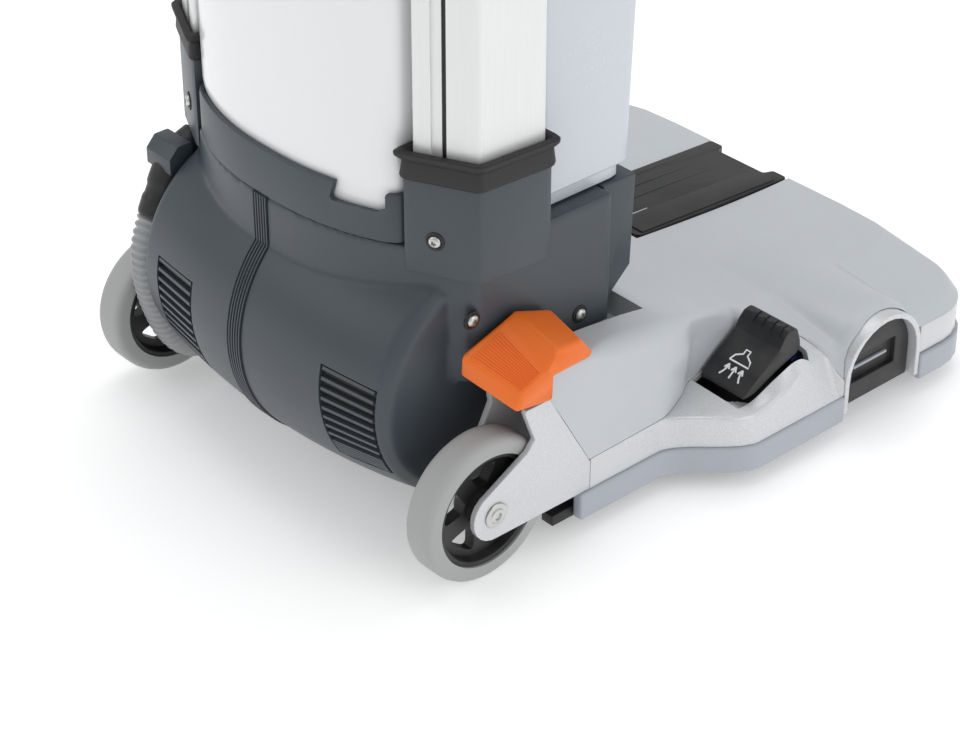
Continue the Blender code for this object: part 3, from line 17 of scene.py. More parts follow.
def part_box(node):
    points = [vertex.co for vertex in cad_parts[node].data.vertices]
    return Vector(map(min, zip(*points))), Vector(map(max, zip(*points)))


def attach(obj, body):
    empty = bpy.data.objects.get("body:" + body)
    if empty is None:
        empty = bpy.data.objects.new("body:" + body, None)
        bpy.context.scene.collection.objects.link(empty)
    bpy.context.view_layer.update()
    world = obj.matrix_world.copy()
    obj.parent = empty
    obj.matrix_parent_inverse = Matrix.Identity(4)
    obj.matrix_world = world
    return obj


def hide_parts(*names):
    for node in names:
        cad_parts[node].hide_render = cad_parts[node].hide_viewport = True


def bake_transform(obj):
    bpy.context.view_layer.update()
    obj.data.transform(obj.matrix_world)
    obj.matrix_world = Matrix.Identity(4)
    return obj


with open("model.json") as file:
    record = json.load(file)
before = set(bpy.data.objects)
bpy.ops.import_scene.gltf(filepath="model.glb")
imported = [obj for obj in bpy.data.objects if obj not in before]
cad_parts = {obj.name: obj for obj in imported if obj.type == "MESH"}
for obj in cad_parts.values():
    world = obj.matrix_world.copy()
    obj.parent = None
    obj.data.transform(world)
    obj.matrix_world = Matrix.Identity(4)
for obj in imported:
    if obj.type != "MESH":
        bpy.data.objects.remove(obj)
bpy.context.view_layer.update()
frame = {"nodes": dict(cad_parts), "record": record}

nodes = frame["nodes"]
MM = 0.001


def middle(node):
    """Centre of a part's box, in metres."""
    low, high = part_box(node)
    return (low + high) / 2


AXLE = middle("tyre_right").y


def at(x, ahead, z):
    """A point from millimetres: right of the middle, ahead of the wheel axle, above the floor."""
    return Vector((x * MM, AXLE + ahead * MM, z * MM))


print("parts", len(nodes), "axle at", round(AXLE, 4))

# %% [markdown]
# ## Camera, floor and light
# The picture is taken from behind the machine's right wheel, looking down at about 33 degrees with a
# long lens. A long lens keeps parallel edges nearly parallel, which is why product pictures use it.
# The light is a plain studio: a bright surround, one large soft panel overhead and one from each side.

# %% Camera
CAMERA_AZIMUTH = math.radians(48.27)
CAMERA_TILT = math.radians(32.94)
camera = bpy.data.objects.new("camera", bpy.data.cameras.new("camera"))
bpy.context.collection.objects.link(camera)
camera.location = (0.9746, -0.8997, 0.8538)
looking = Vector((-math.sin(CAMERA_AZIMUTH) * math.cos(CAMERA_TILT),
                  math.cos(CAMERA_AZIMUTH) * math.cos(CAMERA_TILT),
                  -math.sin(CAMERA_TILT)))
camera.rotation_mode = "QUATERNION"
camera.rotation_quaternion = looking.to_track_quat("-Z", "Y")
camera.data.lens = 100.0
camera.data.sensor_width = 36.0
camera.data.clip_start = 0.02
bpy.context.scene.camera = camera
print("camera looks along", [round(value, 3) for value in looking])

# %% Floor, surround and lights
bpy.context.scene.view_settings.view_transform = "Standard"
floor_mesh = bpy.data.meshes.new("floor")
floor_mesh.from_pydata([(-6, -6, 0), (6, -6, 0), (6, 6, 0), (-6, 6, 0)], [], [(0, 1, 2, 3)])
floor = bpy.data.objects.new("floor", floor_mesh)
bpy.context.collection.objects.link(floor)

world = bpy.data.worlds.new("studio")
world.use_nodes = True
world.node_tree.nodes["Background"].inputs["Color"].default_value = (0.98, 0.99, 1.0, 1.0)
world.node_tree.nodes["Background"].inputs["Strength"].default_value = 0.60
bpy.context.scene.world = world


def soft_panel(name, place, target, size, power):
    """One square area light that faces a point."""
    light = bpy.data.lights.new(name, "AREA")
    light.size = size
    light.energy = power
    panel = bpy.data.objects.new(name, light)
    panel.location = place
    panel.rotation_mode = "QUATERNION"
    panel.rotation_quaternion = (Vector(target) - Vector(place)).to_track_quat("-Z", "Y")
    bpy.context.collection.objects.link(panel)
    return panel


soft_panel("overhead", (-0.4, 0.2, 2.4), (0, 0, 0.2), 1.8, 17.0)
soft_panel("from_right", (2.2, 0.6, 1.2), (0, 0, 0.15), 1.4, 10.0)
soft_panel("from_left", (-1.4, -2.0, 1.6), (0, 0, 0.2), 1.4, 7.0)

# %% [markdown]
# ## Finishes
# A moulded plastic is never one flat colour. It has a fine spark grain from the tool, small changes in
# gloss and a slight unevenness of colour. Each finish below is made from noise at two or three scales.
# Shader arithmetic is written as Python expressions: `Wire` holds one socket, and its operators add
# Math nodes.

# %% A socket that can be added and multiplied
class Wire:
    """One output of a shader tree; arithmetic on it adds Math nodes."""

    def __init__(self, tree, socket):
        self.tree = tree
        self.socket = socket

    def maths(self, operation, first, second):
        node = self.tree.nodes.new("ShaderNodeMath")
        node.operation = operation
        for slot, value in zip(node.inputs, (first, second)):
            plug(self.tree, value, slot)
        return Wire(self.tree, node.outputs[0])

    def __add__(self, other):
        return self.maths("ADD", self, other)

    def __radd__(self, other):
        return self.maths("ADD", other, self)

    def __sub__(self, other):
        return self.maths("SUBTRACT", self, other)

    def __rsub__(self, other):
        return self.maths("SUBTRACT", other, self)

    def __mul__(self, other):
        return self.maths("MULTIPLY", self, other)

    def __rmul__(self, other):
        return self.maths("MULTIPLY", other, self)

    def clipped(self):
        return self.maths("MINIMUM", self.maths("MAXIMUM", self, 0.0), 1.0)

    def above(self, limit, blur):
        """0 below the limit, 1 above it, with a soft step."""
        return ((self - limit) * (1.0 / blur) + 0.5).clipped()


def plug(tree, value, slot):
    """Give a socket a link or a plain value."""
    if isinstance(value, Wire):
        tree.links.new(value.socket, slot)
    else:
        slot.default_value = value


class Finish:
    """A Principled material and the few nodes that the finishes share."""

    def __init__(self, name):
        self.material = bpy.data.materials.new(name)
        self.material.use_nodes = True
        self.tree = self.material.node_tree
        self.shader = self.tree.nodes["Principled BSDF"]
        self.place = self.node("ShaderNodeTexCoord", output="Object")

    def node(self, kind, settings=None, inputs=None, output=0):
        node = self.tree.nodes.new(kind)
        for key, value in (settings or {}).items():
            setattr(node, key, value)
        for key, value in (inputs or {}).items():
            plug(self.tree, value, node.inputs[key])
        return Wire(self.tree, node.outputs[output])

    def stretched(self, x, y, z):
        return self.node("ShaderNodeMapping", None, {"Vector": self.place, "Scale": (x, y, z)})

    def noise(self, scale, detail=3.0, place=None):
        return self.node("ShaderNodeTexNoise", None,
                         {"Vector": place or self.place, "Scale": scale, "Detail": detail})

    def part_of(self, axis):
        return self.node("ShaderNodeSeparateXYZ", None, {"Vector": self.place}, axis)

    def mix(self, share, first, second):
        node = self.tree.nodes.new("ShaderNodeMix")
        node.data_type = "RGBA"
        for key, value in ((0, share), (6, first), (7, second)):
            plug(self.tree, value if isinstance(value, (Wire, float)) else (*value, 1.0), node.inputs[key])
        return Wire(self.tree, node.outputs[2])

    def set(self, **values):
        for key, value in values.items():
            slot = self.shader.inputs[key.replace("_", " ")]
            if isinstance(value, tuple) and len(value) == 3 and slot.type == "RGBA":
                value = (*value, 1.0)
            plug(self.tree, value, slot)
        return self

    def bump(self, height, strength, distance):
        normal = self.node("ShaderNodeBump", None,
                           {"Height": height, "Strength": strength, "Distance": distance}, "Normal")
        plug(self.tree, normal, self.shader.inputs["Normal"])
        return self


def moulded(name, colour, roughness, grain=1400.0, depth=0.00006, shade=0.10, uneven=0.08, metal=0.0):
    """Moulded plastic: spark grain, slow changes of colour and gloss, a little dust low down."""
    finish = Finish(name)
    slow = finish.noise(9.0, 4.0)
    fine = finish.noise(grain, 2.0)
    dark = tuple(value * (1.0 - shade) for value in colour)
    light = tuple(min(value * (1.0 + shade), 1.0) for value in colour)
    body = finish.mix(slow, dark, light)
    dust = (1.0 - finish.part_of("Z").above(0.05, 0.09)) * finish.noise(60.0, 5.0).above(0.55, 0.35)
    finish.set(Base_Color=finish.mix(dust * 0.10, body, (0.42, 0.40, 0.37)),
               Roughness=(roughness - uneven * 0.5) + slow * uneven + fine * 0.04 + dust * 0.15,
               Metallic=metal)
    return finish.bump(fine + slow * 0.2, 0.35, depth)


slate = moulded("slate_plastic", (0.052, 0.064, 0.077), 0.36)
black = moulded("black_plastic", (0.013, 0.013, 0.014), 0.42)
cover_grey = moulded("cover_grey", (0.56, 0.585, 0.61), 0.33, shade=0.02)
orange = moulded("pedal_orange", (0.90, 0.17, 0.010), 0.36, shade=0.03)
bumper_grey = moulded("bumper_grey", (0.42, 0.45, 0.50), 0.36, shade=0.04)
tank_white = moulded("tank_white", (0.86, 0.87, 0.875), 0.20, grain=500.0, depth=0.00002, shade=0.01)
tank_grey = moulded("tank_grey", (0.62, 0.655, 0.71), 0.24, grain=500.0, depth=0.00002, shade=0.015)
rubber = moulded("black_rubber", (0.016, 0.015, 0.015), 0.55, grain=900.0, shade=0.15)
tyre_grey = moulded("tyre_grey", (0.40, 0.405, 0.40), 0.62, grain=420.0, depth=0.00020, shade=0.10)
hose_grey = moulded("hose_grey", (0.33, 0.34, 0.35), 0.32, shade=0.08)
bristle = moulded("bristle", (0.05, 0.13, 0.38), 0.5, grain=700.0, shade=0.25)
for finish in (tank_white, tank_grey):
    finish.set(Coat_Weight=0.3, Coat_Roughness=0.08)
print("moulded finishes", len(bpy.data.materials))

# %% Silver paint, aluminium and steel
silver = Finish("silver_trim")
flake = silver.noise(2600.0, 1.0)
silver.set(Base_Color=silver.mix(flake.above(0.6, 0.25), (0.60, 0.61, 0.63), (0.82, 0.83, 0.85)),
           Roughness=0.30 + flake * 0.10 + silver.noise(14.0, 3.0) * 0.06,
           Metallic=0.25, Coat_Weight=0.35, Coat_Roughness=0.12)
silver.bump(flake, 0.15, 0.00003)

aluminium = Finish("aluminium")
drawn = aluminium.noise(60.0, 4.0, aluminium.stretched(30.0, 30.0, 0.4))
aluminium.set(Base_Color=aluminium.mix(drawn, (0.76, 0.765, 0.76), (0.86, 0.865, 0.86)),
              Roughness=0.34 + drawn * 0.12, Metallic=0.35)
aluminium.bump(drawn, 0.12, 0.00003)

steel = Finish("steel")
plating = steel.noise(220.0, 4.0)
steel.set(Base_Color=steel.mix(plating, (0.50, 0.50, 0.49), (0.68, 0.68, 0.66)),
          Roughness=0.22 + plating * 0.16, Metallic=1.0)
steel.bump(plating, 0.10, 0.00003)

floor_finish = Finish("floor")
floor_finish.set(Base_Color=floor_finish.mix(floor_finish.noise(3.0, 2.0), (0.93, 0.93, 0.93), (0.95, 0.95, 0.95)),
                 Roughness=0.6, Emission_Color=(1.0, 1.0, 1.0), Emission_Strength=0.30)
floor.data.materials.append(floor_finish.material)

FINISH_OF_SLOT = {
    "slate_plastic": slate, "black_plastic": black, "cover_grey": cover_grey, "silver_trim": silver,
    "bumper_grey": bumper_grey, "pedal_orange": orange, "tank_white": tank_white, "tank_grey": tank_grey,
    "aluminium": aluminium, "steel": steel, "black_rubber": rubber, "tyre_grey": tyre_grey,
    "bristle": bristle, "hose_grey": hose_grey}
slot_of_node = {row["node"]: row["material_slot"] for row in frame["record"]["subparts"]}
body_of_node = {}
for body, members in frame["record"]["behaviour"]["bodies"].items():
    for member in members:
        body_of_node[member] = body
for name, thing in nodes.items():
    thing.data.materials.clear()
    thing.data.materials.append(FINISH_OF_SLOT[slot_of_node[name]].material)
print("finished parts", len(nodes))

# %% [markdown]
# ## Making pieces
# Two ways are used again and again. A plain moulding keeps the shape of its mechanical part: its mesh is
# copied, the loose triangles are merged, and the sharp edges are bevelled, as a mould maker rounds them.
# A part with a flowing surface is skinned anew through many cross-sections.

# %% Helpers that turn a mesh into a riding piece
def settle(name, mesh, body, slot_name, replaced=(), smooth=35.0, finish=None):
    """Give a mesh the finish of its slot, or another one, and let it ride on a body for the named parts."""
    mesh.materials.clear()
    mesh.materials.append((finish or FINISH_OF_SLOT[slot_name]).material)
    mesh.shade_smooth()
    mesh.set_sharp_from_angle(angle=math.radians(smooth))
    piece = bpy.data.objects.new(name, mesh)
    bpy.context.collection.objects.link(piece)
    if body:
        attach(piece, body)
    if replaced:
        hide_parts(*replaced)
    return piece


def replace(node, suffix, mesh, smooth=35.0):
    """Settle a mesh in place of one part, on the same body and with the same finish."""
    return settle(node + suffix, mesh, body_of_node[node], slot_of_node[node], (node,), smooth)


def frozen(thing):
    """The evaluated mesh of an object with modifiers; the object itself is removed."""
    bpy.context.view_layer.update()
    mesh = bpy.data.meshes.new_from_object(thing.evaluated_get(bpy.context.evaluated_depsgraph_get()))
    bpy.data.objects.remove(thing, do_unlink=True)
    return mesh


def merged_copy(node):
    """A part's mesh with its triangles joined into flat faces."""
    mesh = nodes[node].data.copy()
    work = bmesh.new()
    work.from_mesh(mesh)
    bmesh.ops.remove_doubles(work, verts=work.verts, dist=0.03 * MM)
    bmesh.ops.dissolve_limit(work, angle_limit=math.radians(1.0), verts=work.verts, edges=work.edges)
    work.to_mesh(mesh)
    work.free()
    return mesh


def loose(name, mesh):
    """A temporary object for a mesh that modifiers will work on."""
    thing = bpy.data.objects.new(name, mesh)
    bpy.context.collection.objects.link(thing)
    return thing


SHARP_ANGLE = 28.0


def rounded_edges(thing, radius, segments=3):
    """Bevel every edge that is clearly sharp."""
    bevel = thing.modifiers.new("edges", "BEVEL")
    bevel.width = radius * MM
    bevel.segments = segments
    bevel.limit_method = "ANGLE"
    bevel.angle_limit = math.radians(SHARP_ANGLE)
    bevel.miter_outer = "MITER_ARC"
    return thing


def carve(thing, cutter, operation="DIFFERENCE", solver="EXACT"):
    """Apply one Boolean at once and remove the cutter."""
    modifier = thing.modifiers.new("carve", "BOOLEAN")
    modifier.operation = operation
    modifier.solver = solver
    modifier.object = cutter
    bpy.context.view_layer.update()
    mesh = bpy.data.meshes.new_from_object(thing.evaluated_get(bpy.context.evaluated_depsgraph_get()))
    thing.modifiers.clear()
    thing.data = mesh
    bpy.data.objects.remove(cutter, do_unlink=True)
    return thing


def soften(node, radius):
    """Replace a part by a copy with rounded edges."""
    return replace(node, "_moulding", frozen(rounded_edges(loose("work", merged_copy(node)), radius)))


def skin(rings, closed=False):
    """A bmesh through closed rings of equal length."""
    work = bmesh.new()
    rows = [[work.verts.new(point) for point in ring] for ring in rings]
    count = len(rings[0])
    pairs = list(zip(rows, rows[1:])) + ([(rows[-1], rows[0])] if closed else [])
    for low, high in pairs:
        for index in range(count):
            after = (index + 1) % count
            work.faces.new((low[index], low[after], high[after], high[index]))
    if not closed:
        work.faces.new(rows[0][::-1])
        work.faces.new(rows[-1])
    bmesh.ops.recalc_face_normals(work, faces=work.faces)
    return work


def to_mesh(name, work):
    mesh = bpy.data.meshes.new(name)
    work.to_mesh(mesh)
    work.free()
    return mesh


def solid(name, rings, closed=False):
    """A temporary object skinned through rings."""
    return loose(name, to_mesh(name, skin(rings, closed)))


def gathered(name, parts):
    """One mesh that holds several skinned shapes, each given by its rings."""
    work = bmesh.new()
    for rings in parts:
        work.from_mesh(to_mesh("part", skin(rings)))
    return to_mesh(name, work)


def ring_of(radius, height, count):
    """A level ring about the Z axis, in metres, for a shape that is copied later."""
    turns = (2 * math.pi * index / count for index in range(count))
    return [Vector((radius * math.cos(turn), radius * math.sin(turn), height)) * MM for turn in turns]


def block_x(outline, low, high):
    """A temporary solid: an (ahead, z) outline run from x = low to x = high."""
    return solid("block", [[at(x, y, z) for y, z in outline] for x in (low, high)])


def block_z(outline, low, high):
    """A temporary solid: an (x, ahead) outline run from z = low to z = high."""
    return solid("block", [[at(x, y, z) for x, y in outline] for z in (low, high)])


def arc(centre, radius, start, stop, steps):
    """Points on an arc, in degrees."""
    points = []
    for step in range(steps + 1):
        turn = math.radians(start + (stop - start) * step / steps)
        points.append((centre[0] + radius * math.cos(turn), centre[1] + radius * math.sin(turn)))
    return points


def filleted(outline, radius, steps=4, closed=True):
    """Round the corners of an outline; radius is one number or one for each corner."""
    points = []
    count = len(outline)
    for index, corner in enumerate(outline):
        size = radius[index] if isinstance(radius, (list, tuple)) else radius
        if size <= 0 or (not closed and index in (0, count - 1)):
            points.append(tuple(corner))
            continue
        corner = Vector(corner)
        before = Vector(outline[index - 1]) - corner
        after = Vector(outline[(index + 1) % count]) - corner
        angle = before.angle(after, math.pi)
        reach = min(size / max(math.tan(angle / 2), 0.05), 0.46 * before.length, 0.46 * after.length)
        start = corner + before.normalized() * reach
        end = corner + after.normalized() * reach
        for step in range(steps + 1):
            share = step / steps
            points.append(tuple((1 - share) ** 2 * start + 2 * share * (1 - share) * corner + share ** 2 * end))
    return points


def smooth_along(stations, ahead):
    """Read a short list of (ahead, value, ...) stations at one place, on a curve that never overshoots."""
    if ahead <= stations[0][0]:
        return stations[0][1:]
    if ahead >= stations[-1][0]:
        return stations[-1][1:]
    last = len(stations) - 1
    index = max(i for i in range(last) if stations[i][0] <= ahead)
    near, far = stations[index], stations[index + 1]
    run = far[0] - near[0]
    share = (ahead - near[0]) / run

    def slope(i, column):
        if i == 0 or i == last:
            return 0.0
        back = (stations[i][column] - stations[i - 1][column]) / (stations[i][0] - stations[i - 1][0])
        front = (stations[i + 1][column] - stations[i][column]) / (stations[i + 1][0] - stations[i][0])
        return 2 * back * front / (back + front) if back * front > 0 else 0.0

    values = []
    for column in range(1, len(near)):
        a, b = near[column], far[column]
        s, t = slope(index, column) * run, slope(index + 1, column) * run
        values.append((2 * share ** 3 - 3 * share ** 2 + 1) * a + (share ** 3 - 2 * share ** 2 + share) * s
                      + (3 * share ** 2 - 2 * share ** 3) * b + (share ** 3 - share ** 2) * t)
    return tuple(values)


print("helpers ready")

# %% [markdown]
# ## Deck cover
# The light grey cover is one injection moulding. It widens from the wheels to the brush in a soft S, its
# top falls forwards, and a fairing swells over the end of the brush. It is skinned through a section every
# few millimetres, each read from a few shaping lines: the crown, the ridge, the flank and the lower seam.
# The hollows for the drum, the duct panel, the pedal and the brush are then cut out.

# %% Shaping lines of the cover
DECK_FRONT, FRONT_HALF, REAR_HALF, FRONT_CORNER = 353.0, 180.0, 150.0, 32.0
SIDE_START, SIDE_RUN = 118.0, 50.0
NOSE_BOTTOM, TRIM_BOTTOM, WALL = 46.0, 27.0, 3.0
BRUSH_AHEAD, ARCH_HEIGHT, ARCH_RADIUS = 268.0, 34.0, 32.0
TILT_AHEAD, TILT_HEIGHT, DRUM_RADIUS = 32.0, 92.0, 79.0
CROWN = ((28, 102), (132, 101), (150, 94), (185, 79), (210, 70.5), (225, 67.5), (353, 60))
RIDGE = ((28, 148, 111.5), (66, 148, 111), (110, 145, 105), (150, 139, 95), (185, 129, 81),
         (215, 119.5, 69), (240, 117, 64), (353, 117, 59))
FLANK = ((28, 150.3, 80), (118, 150.3, 78), (143, 146, 78), (160, 133.5, 74), (190, 132.5, 71),
         (211, 133, 67.5), (220, 147, 62.5), (240, 171, 54), (353, 171, 52))
SEAM = ((28, 150, 45.5), (120, 149.5, 47), (143, 142, 47.5), (160, 133.5, 48), (190, 132.5, 60),
        (211, 133, 66), (216, 142, 64.5), (224, 154, 59.5), (230, 166, 52), (236, 179, 37.5),
        (240, 180, 46), (353, 180, 46))


def ease(share):
    share = min(max(share, 0.0), 1.0)
    return share * share * (3 - 2 * share)


def side_half(ahead):
    """Half width of the deck at one distance ahead of the axle."""
    half = REAR_HALF + (FRONT_HALF - REAR_HALF) * ease((ahead - SIDE_START) / SIDE_RUN)
    into = ahead - (DECK_FRONT - FRONT_CORNER)
    if into > 0:
        half -= FRONT_CORNER - math.sqrt(max(FRONT_CORNER ** 2 - into ** 2, 0.0))
    return half


def cover_half_section(ahead, side, inset=0.0, drop=0.0):
    """Half of a cross-section, from the crown down to the lower edge."""
    (crown,) = smooth_along(CROWN, ahead)
    ridge_x, ridge_z = smooth_along(RIDGE, ahead)
    if side > 0:
        flank_x, flank_z = smooth_along(FLANK, ahead)
        seam_x, seam_z = smooth_along(SEAM, ahead)
        reach = (ARCH_RADIUS + 3.0) ** 2 - (ahead - BRUSH_AHEAD) ** 2
        if reach > 0:
            hood = ARCH_HEIGHT + math.sqrt(reach)
            lift = max(hood - flank_z, 0.0)
            flank_z += lift
            flank_x += 5.0 * min(lift / 10.0, 1.0)
            ridge_z += 0.35 * lift
    else:
        share = ease((ahead - SIDE_START) / SIDE_RUN)
        flank_x, flank_z = REAR_HALF + 0.3 + 20.7 * share, 80.0 - 28.0 * share
        seam_x, seam_z = min(side_half(ahead), FRONT_HALF), NOSE_BOTTOM
    if ahead > DECK_FRONT - FRONT_CORNER:
        pull = side_half(ahead) / FRONT_HALF
        ridge_x, flank_x = ridge_x * pull, flank_x * pull
        seam_x = side_half(ahead)
    points = [(0.0, crown), (70.0, crown), (ridge_x, ridge_z), (flank_x, flank_z), (seam_x, seam_z)]
    ridge_round = 2.5 + 9.0 * ease((ahead - 54.0) / 40.0)
    points = filleted(points, [0, 30.0, ridge_round, 16.0, 0], 7, closed=False)
    half = [(x if x == 0 else x - inset * min(x / 70.0, 1.0), z - inset * (1.0 if index < 20 else 0.6))
            for index, (x, z) in enumerate(points)]
    half[-1] = (half[-1][0], seam_z + 0.3 - drop)
    return half


def cover_solid(inset, drop, first):
    """The cover as one solid; inset makes it smaller for the hollow."""
    corner = DECK_FRONT - FRONT_CORNER
    stations = [first] + [28 + 2.5 * step for step in range(1, int((corner - 28) / 2.5))] + [corner]
    stations += [corner + (FRONT_CORNER - inset) * math.sin(math.radians(angle)) for angle in range(6, 91, 6)]
    rings = []
    for ahead in stations:
        right = cover_half_section(ahead, 1, inset, drop)
        left = [(-x, z) for x, z in cover_half_section(ahead, -1, inset, drop)][:0:-1]
        rings.append([at(x, ahead, z) for x, z in left + right])
    return solid("cover", rings)


def drum_recess(spare):
    """Side view of the hollow that the drum turns in."""
    reach = DRUM_RADIUS + 4.0 + spare
    front = TILT_AHEAD + DRUM_RADIUS + 21.0 + spare
    bow = arc((TILT_AHEAD, TILT_HEIGHT), reach, -75, -8, 24)
    return [(-120.0, -20.0), (bow[0][0], -20.0)] + bow + [
        (front - 3.0, TILT_HEIGHT - 4.0), (front, TILT_HEIGHT + 4.0), (front, 160.0), (-120.0, 160.0)]


def brush_arch(radius, low, high, foot=-5.0):
    outline = [(BRUSH_AHEAD + radius, foot)] + arc((BRUSH_AHEAD, ARCH_HEIGHT), radius, 0, 180, 40)
    return block_x(outline + [(BRUSH_AHEAD - radius, foot)], low, high)


def panel_pocket(spare):
    outline = []
    for ahead in (222.0 - spare, DECK_FRONT + 5.0):
        (top,) = smooth_along(CROWN, min(ahead, DECK_FRONT))
        outline.append((ahead, top - 5.3 - spare))
    outline += [(DECK_FRONT + 5.0, 90.0), (222.0 - spare, 90.0)]
    return block_x(outline, -39.0 - spare, 27.0 + spare)


print("widest section", [round(value) for value in cover_half_section(268, 1)[-1]])

# %% Skin and cut the cover
cover = cover_solid(0.0, 0.0, 28)
inside = cover_solid(WALL, 12.0, 23)
RECESS_HALF = 121.8
carve(inside, block_x(drum_recess(WALL), -RECESS_HALF - WALL, RECESS_HALF + WALL))
carve(inside, panel_pocket(WALL))
SLANT = (67.5 - 37.2) / (45.0 - 97.5)
slant_high, slant_low = 37.2 + SLANT * (140.0 - 97.5), 37.2 + SLANT * (20.0 - 97.5)
carve(cover, block_x(((slant_high, 140), (slant_low, 20), (-40, 20), (-40, 140)), -200, 200))
carve(cover, block_x(drum_recess(0.0), -RECESS_HALF, RECESS_HALF))
carve(cover, inside)
carve(cover, panel_pocket(0.0))
carve(cover, block_x(((0, 97), (0, 130), (54, 130), (54, 97)), 110.0, REAR_HALF - 3.5))
carve(cover, brush_arch(ARCH_RADIUS + 0.4, 157.7, 200.0))
carve(cover, brush_arch(28.5 + 1.0, 0.0, 163.0))
replace("deck_cover", "_moulding", frozen(cover), 38.0)
print("deck cover sections", len(cover_half_section(100, 1)), "points a side")

# %% [markdown]
# ## Side trim, bumpers and brush ring
# The silver trim is a separate moulding below the cover. Ahead of the wheel it swells out into a shelf for
# the suction rocker, and the fold at the shelf's edge catches a bright line of light.

# %% Side trim with its shelf
SHELF = ((68, 150, 45), (120, 150, 46.6), (143, 163, 47), (166, 169, 46.5), (190, 169, 54.5),
         (209, 168.5, 60.5), (224, 166, 56), (230, 167, 52.2), (236, 179.4, 37.2))
FOLD = ((68, 150, 44), (120, 150.5, 45), (143, 167, 46.8), (156, 176, 45.6), (166, 178, 45.3),
        (190, 176.5, 48), (209, 172, 51), (230, 168.5, 51), (236, 179.8, 36.5))


def trim_ring(ahead):
    """One thin cross-section of the right trim."""
    seam_x, seam_z = smooth_along(SEAM, ahead)
    shelf_x, shelf_z = smooth_along(SHELF, ahead)
    fold_x, fold_z = smooth_along(FOLD, ahead)
    foot = side_half(ahead)
    face = [(seam_x, seam_z), (shelf_x, shelf_z), (fold_x, fold_z), (foot, TRIM_BOTTOM)]
    face = filleted(face, [0, 3.0, 4.5, 0], 5, closed=False)
    back = [(foot - WALL, TRIM_BOTTOM), (fold_x - WALL, fold_z - WALL),
            (min(shelf_x, fold_x - 0.5) - WALL, shelf_z - WALL), (seam_x - 0.5 * WALL, seam_z - WALL)]
    return [at(x, ahead, z) for x, z in face + back]


trim_stations = [67.8 + 2.0 * step for step in range(int((235.7 - 67.8) / 2.0) + 1)] + [235.7]
trim = solid("trim", [trim_ring(ahead) for ahead in trim_stations])
carve(trim, block_x(((160, 44), (160, 90), (216, 90), (216, 44)), 134.0, 169.5))
replace("side_trim_right", "_moulding", frozen(trim), 38.0)
for node, radius in (("side_trim_left", 0.8), ("front_trim", 0.8), ("bumper_right", 1.6), ("bumper_front", 1.6),
                     ("brush_opening_ring", 0.7), ("brush_end_cap", 0.6), ("wheel_bracket_right", 0.9),
                     ("wheel_bracket_left", 0.9), ("pivot_bracket_right", 0.9), ("pivot_bracket_left", 0.9),
                     ("duct_panel", 0.7), ("chassis", 0.8), ("rear_squeegee_holder", 0.8),
                     ("front_squeegee_holder", 0.8), ("front_squeegee_blade", 0.3), ("rear_squeegee_blade", 0.3)):
    soften(node, radius)
print("trim stations", len(trim_stations))

# %% [markdown]
# ## Motor housing
# The drum and the body above it are one flowing moulding in two halves, with a ribbed strip between them.
# The two solids are joined, turned into an even skin with Remesh, and relaxed with Smooth, so that every
# inner corner gets the soft radius a moulding has. The halves are then cut apart and the vents sunk in.

# %% Plan and drum of the housing
HOUSING_TOP, BODY_REAR, BODY_FRONT, CHEEK_HALF = 176.0, -25.0, 112.0, 116.0
DRUM_HALF, DRUM_BOW, BOW_STEPS = 105.0, 11.0, 20


def bowed_plan(half, rear, front, corner):
    """Anticlockwise plan with a bowed rear edge and soft corners."""
    bow = [(half - corner * 0.8) * step / BOW_STEPS for step in range(1, BOW_STEPS + 1)]
    right = [(x, rear + 20.0 * (x / 85.0) ** 2.4) for x in bow]
    edge = right[-1]
    corner_point = (half, edge[1] + (half - edge[0]) * 0.85)
    right += filleted([edge, corner_point, (half, front)], [0, corner, 0], 8, closed=False)[1:]
    return right + [(-x, y) for x, y in reversed(right)] + [(0.0, rear)]


def drum_radius(x):
    return DRUM_RADIUS - DRUM_BOW * (x / DRUM_HALF) ** 2


def drum_solid(spare, end_round):
    """The drum turned about its axis, slightly larger in the middle."""
    half = DRUM_HALF + min(spare, 0.0)
    rings = []
    for x in (half * step / 20 for step in range(-20, 21)):
        near_end = max(abs(x) - (half - end_round), 0.0)
        radius = drum_radius(x) + spare - (end_round - math.sqrt(max(end_round ** 2 - near_end ** 2, 0.0)))
        rings.append([at(x, TILT_AHEAD + radius * math.cos(math.radians(3 * k)),
                         TILT_HEIGHT + radius * math.sin(math.radians(3 * k))) for k in range(120)])
    return solid("drum", rings)


def quick_carve(thing, cutter, operation="DIFFERENCE"):
    """A Boolean for dense closed meshes, which the manifold solver does in a moment."""
    return carve(thing, cutter, operation, "MANIFOLD")


housing = drum_solid(0.0, 5.0)
quick_carve(housing, block_z(bowed_plan(CHEEK_HALF, BODY_REAR, BODY_FRONT, 14.0), 99.0, HOUSING_TOP), "UNION")
remesh = housing.modifiers.new("even_skin", "REMESH")
remesh.mode = "VOXEL"
remesh.voxel_size = 1.6 * MM
relax = housing.modifiers.new("relax", "SMOOTH")
relax.factor = 0.5
relax.iterations = 6
housing = loose("housing", frozen(housing))
print("housing skin", len(housing.data.polygons), "faces")


def drum_patch(low, high, start, stop, deep, proud):
    """A curved block on the drum between two x values and two angles, from deep below it to proud of it."""
    rings = []
    for step in range(9):
        x = low + (high - low) * step / 8
        inner, outer = drum_radius(x) - deep, drum_radius(x) + proud
        section = arc((TILT_AHEAD, TILT_HEIGHT), outer, start, stop, 16)
        section += arc((TILT_AHEAD, TILT_HEIGHT), inner, stop, start, 16)
        rings.append([at(x, y, z) for y, z in section])
    return solid("patch", rings)


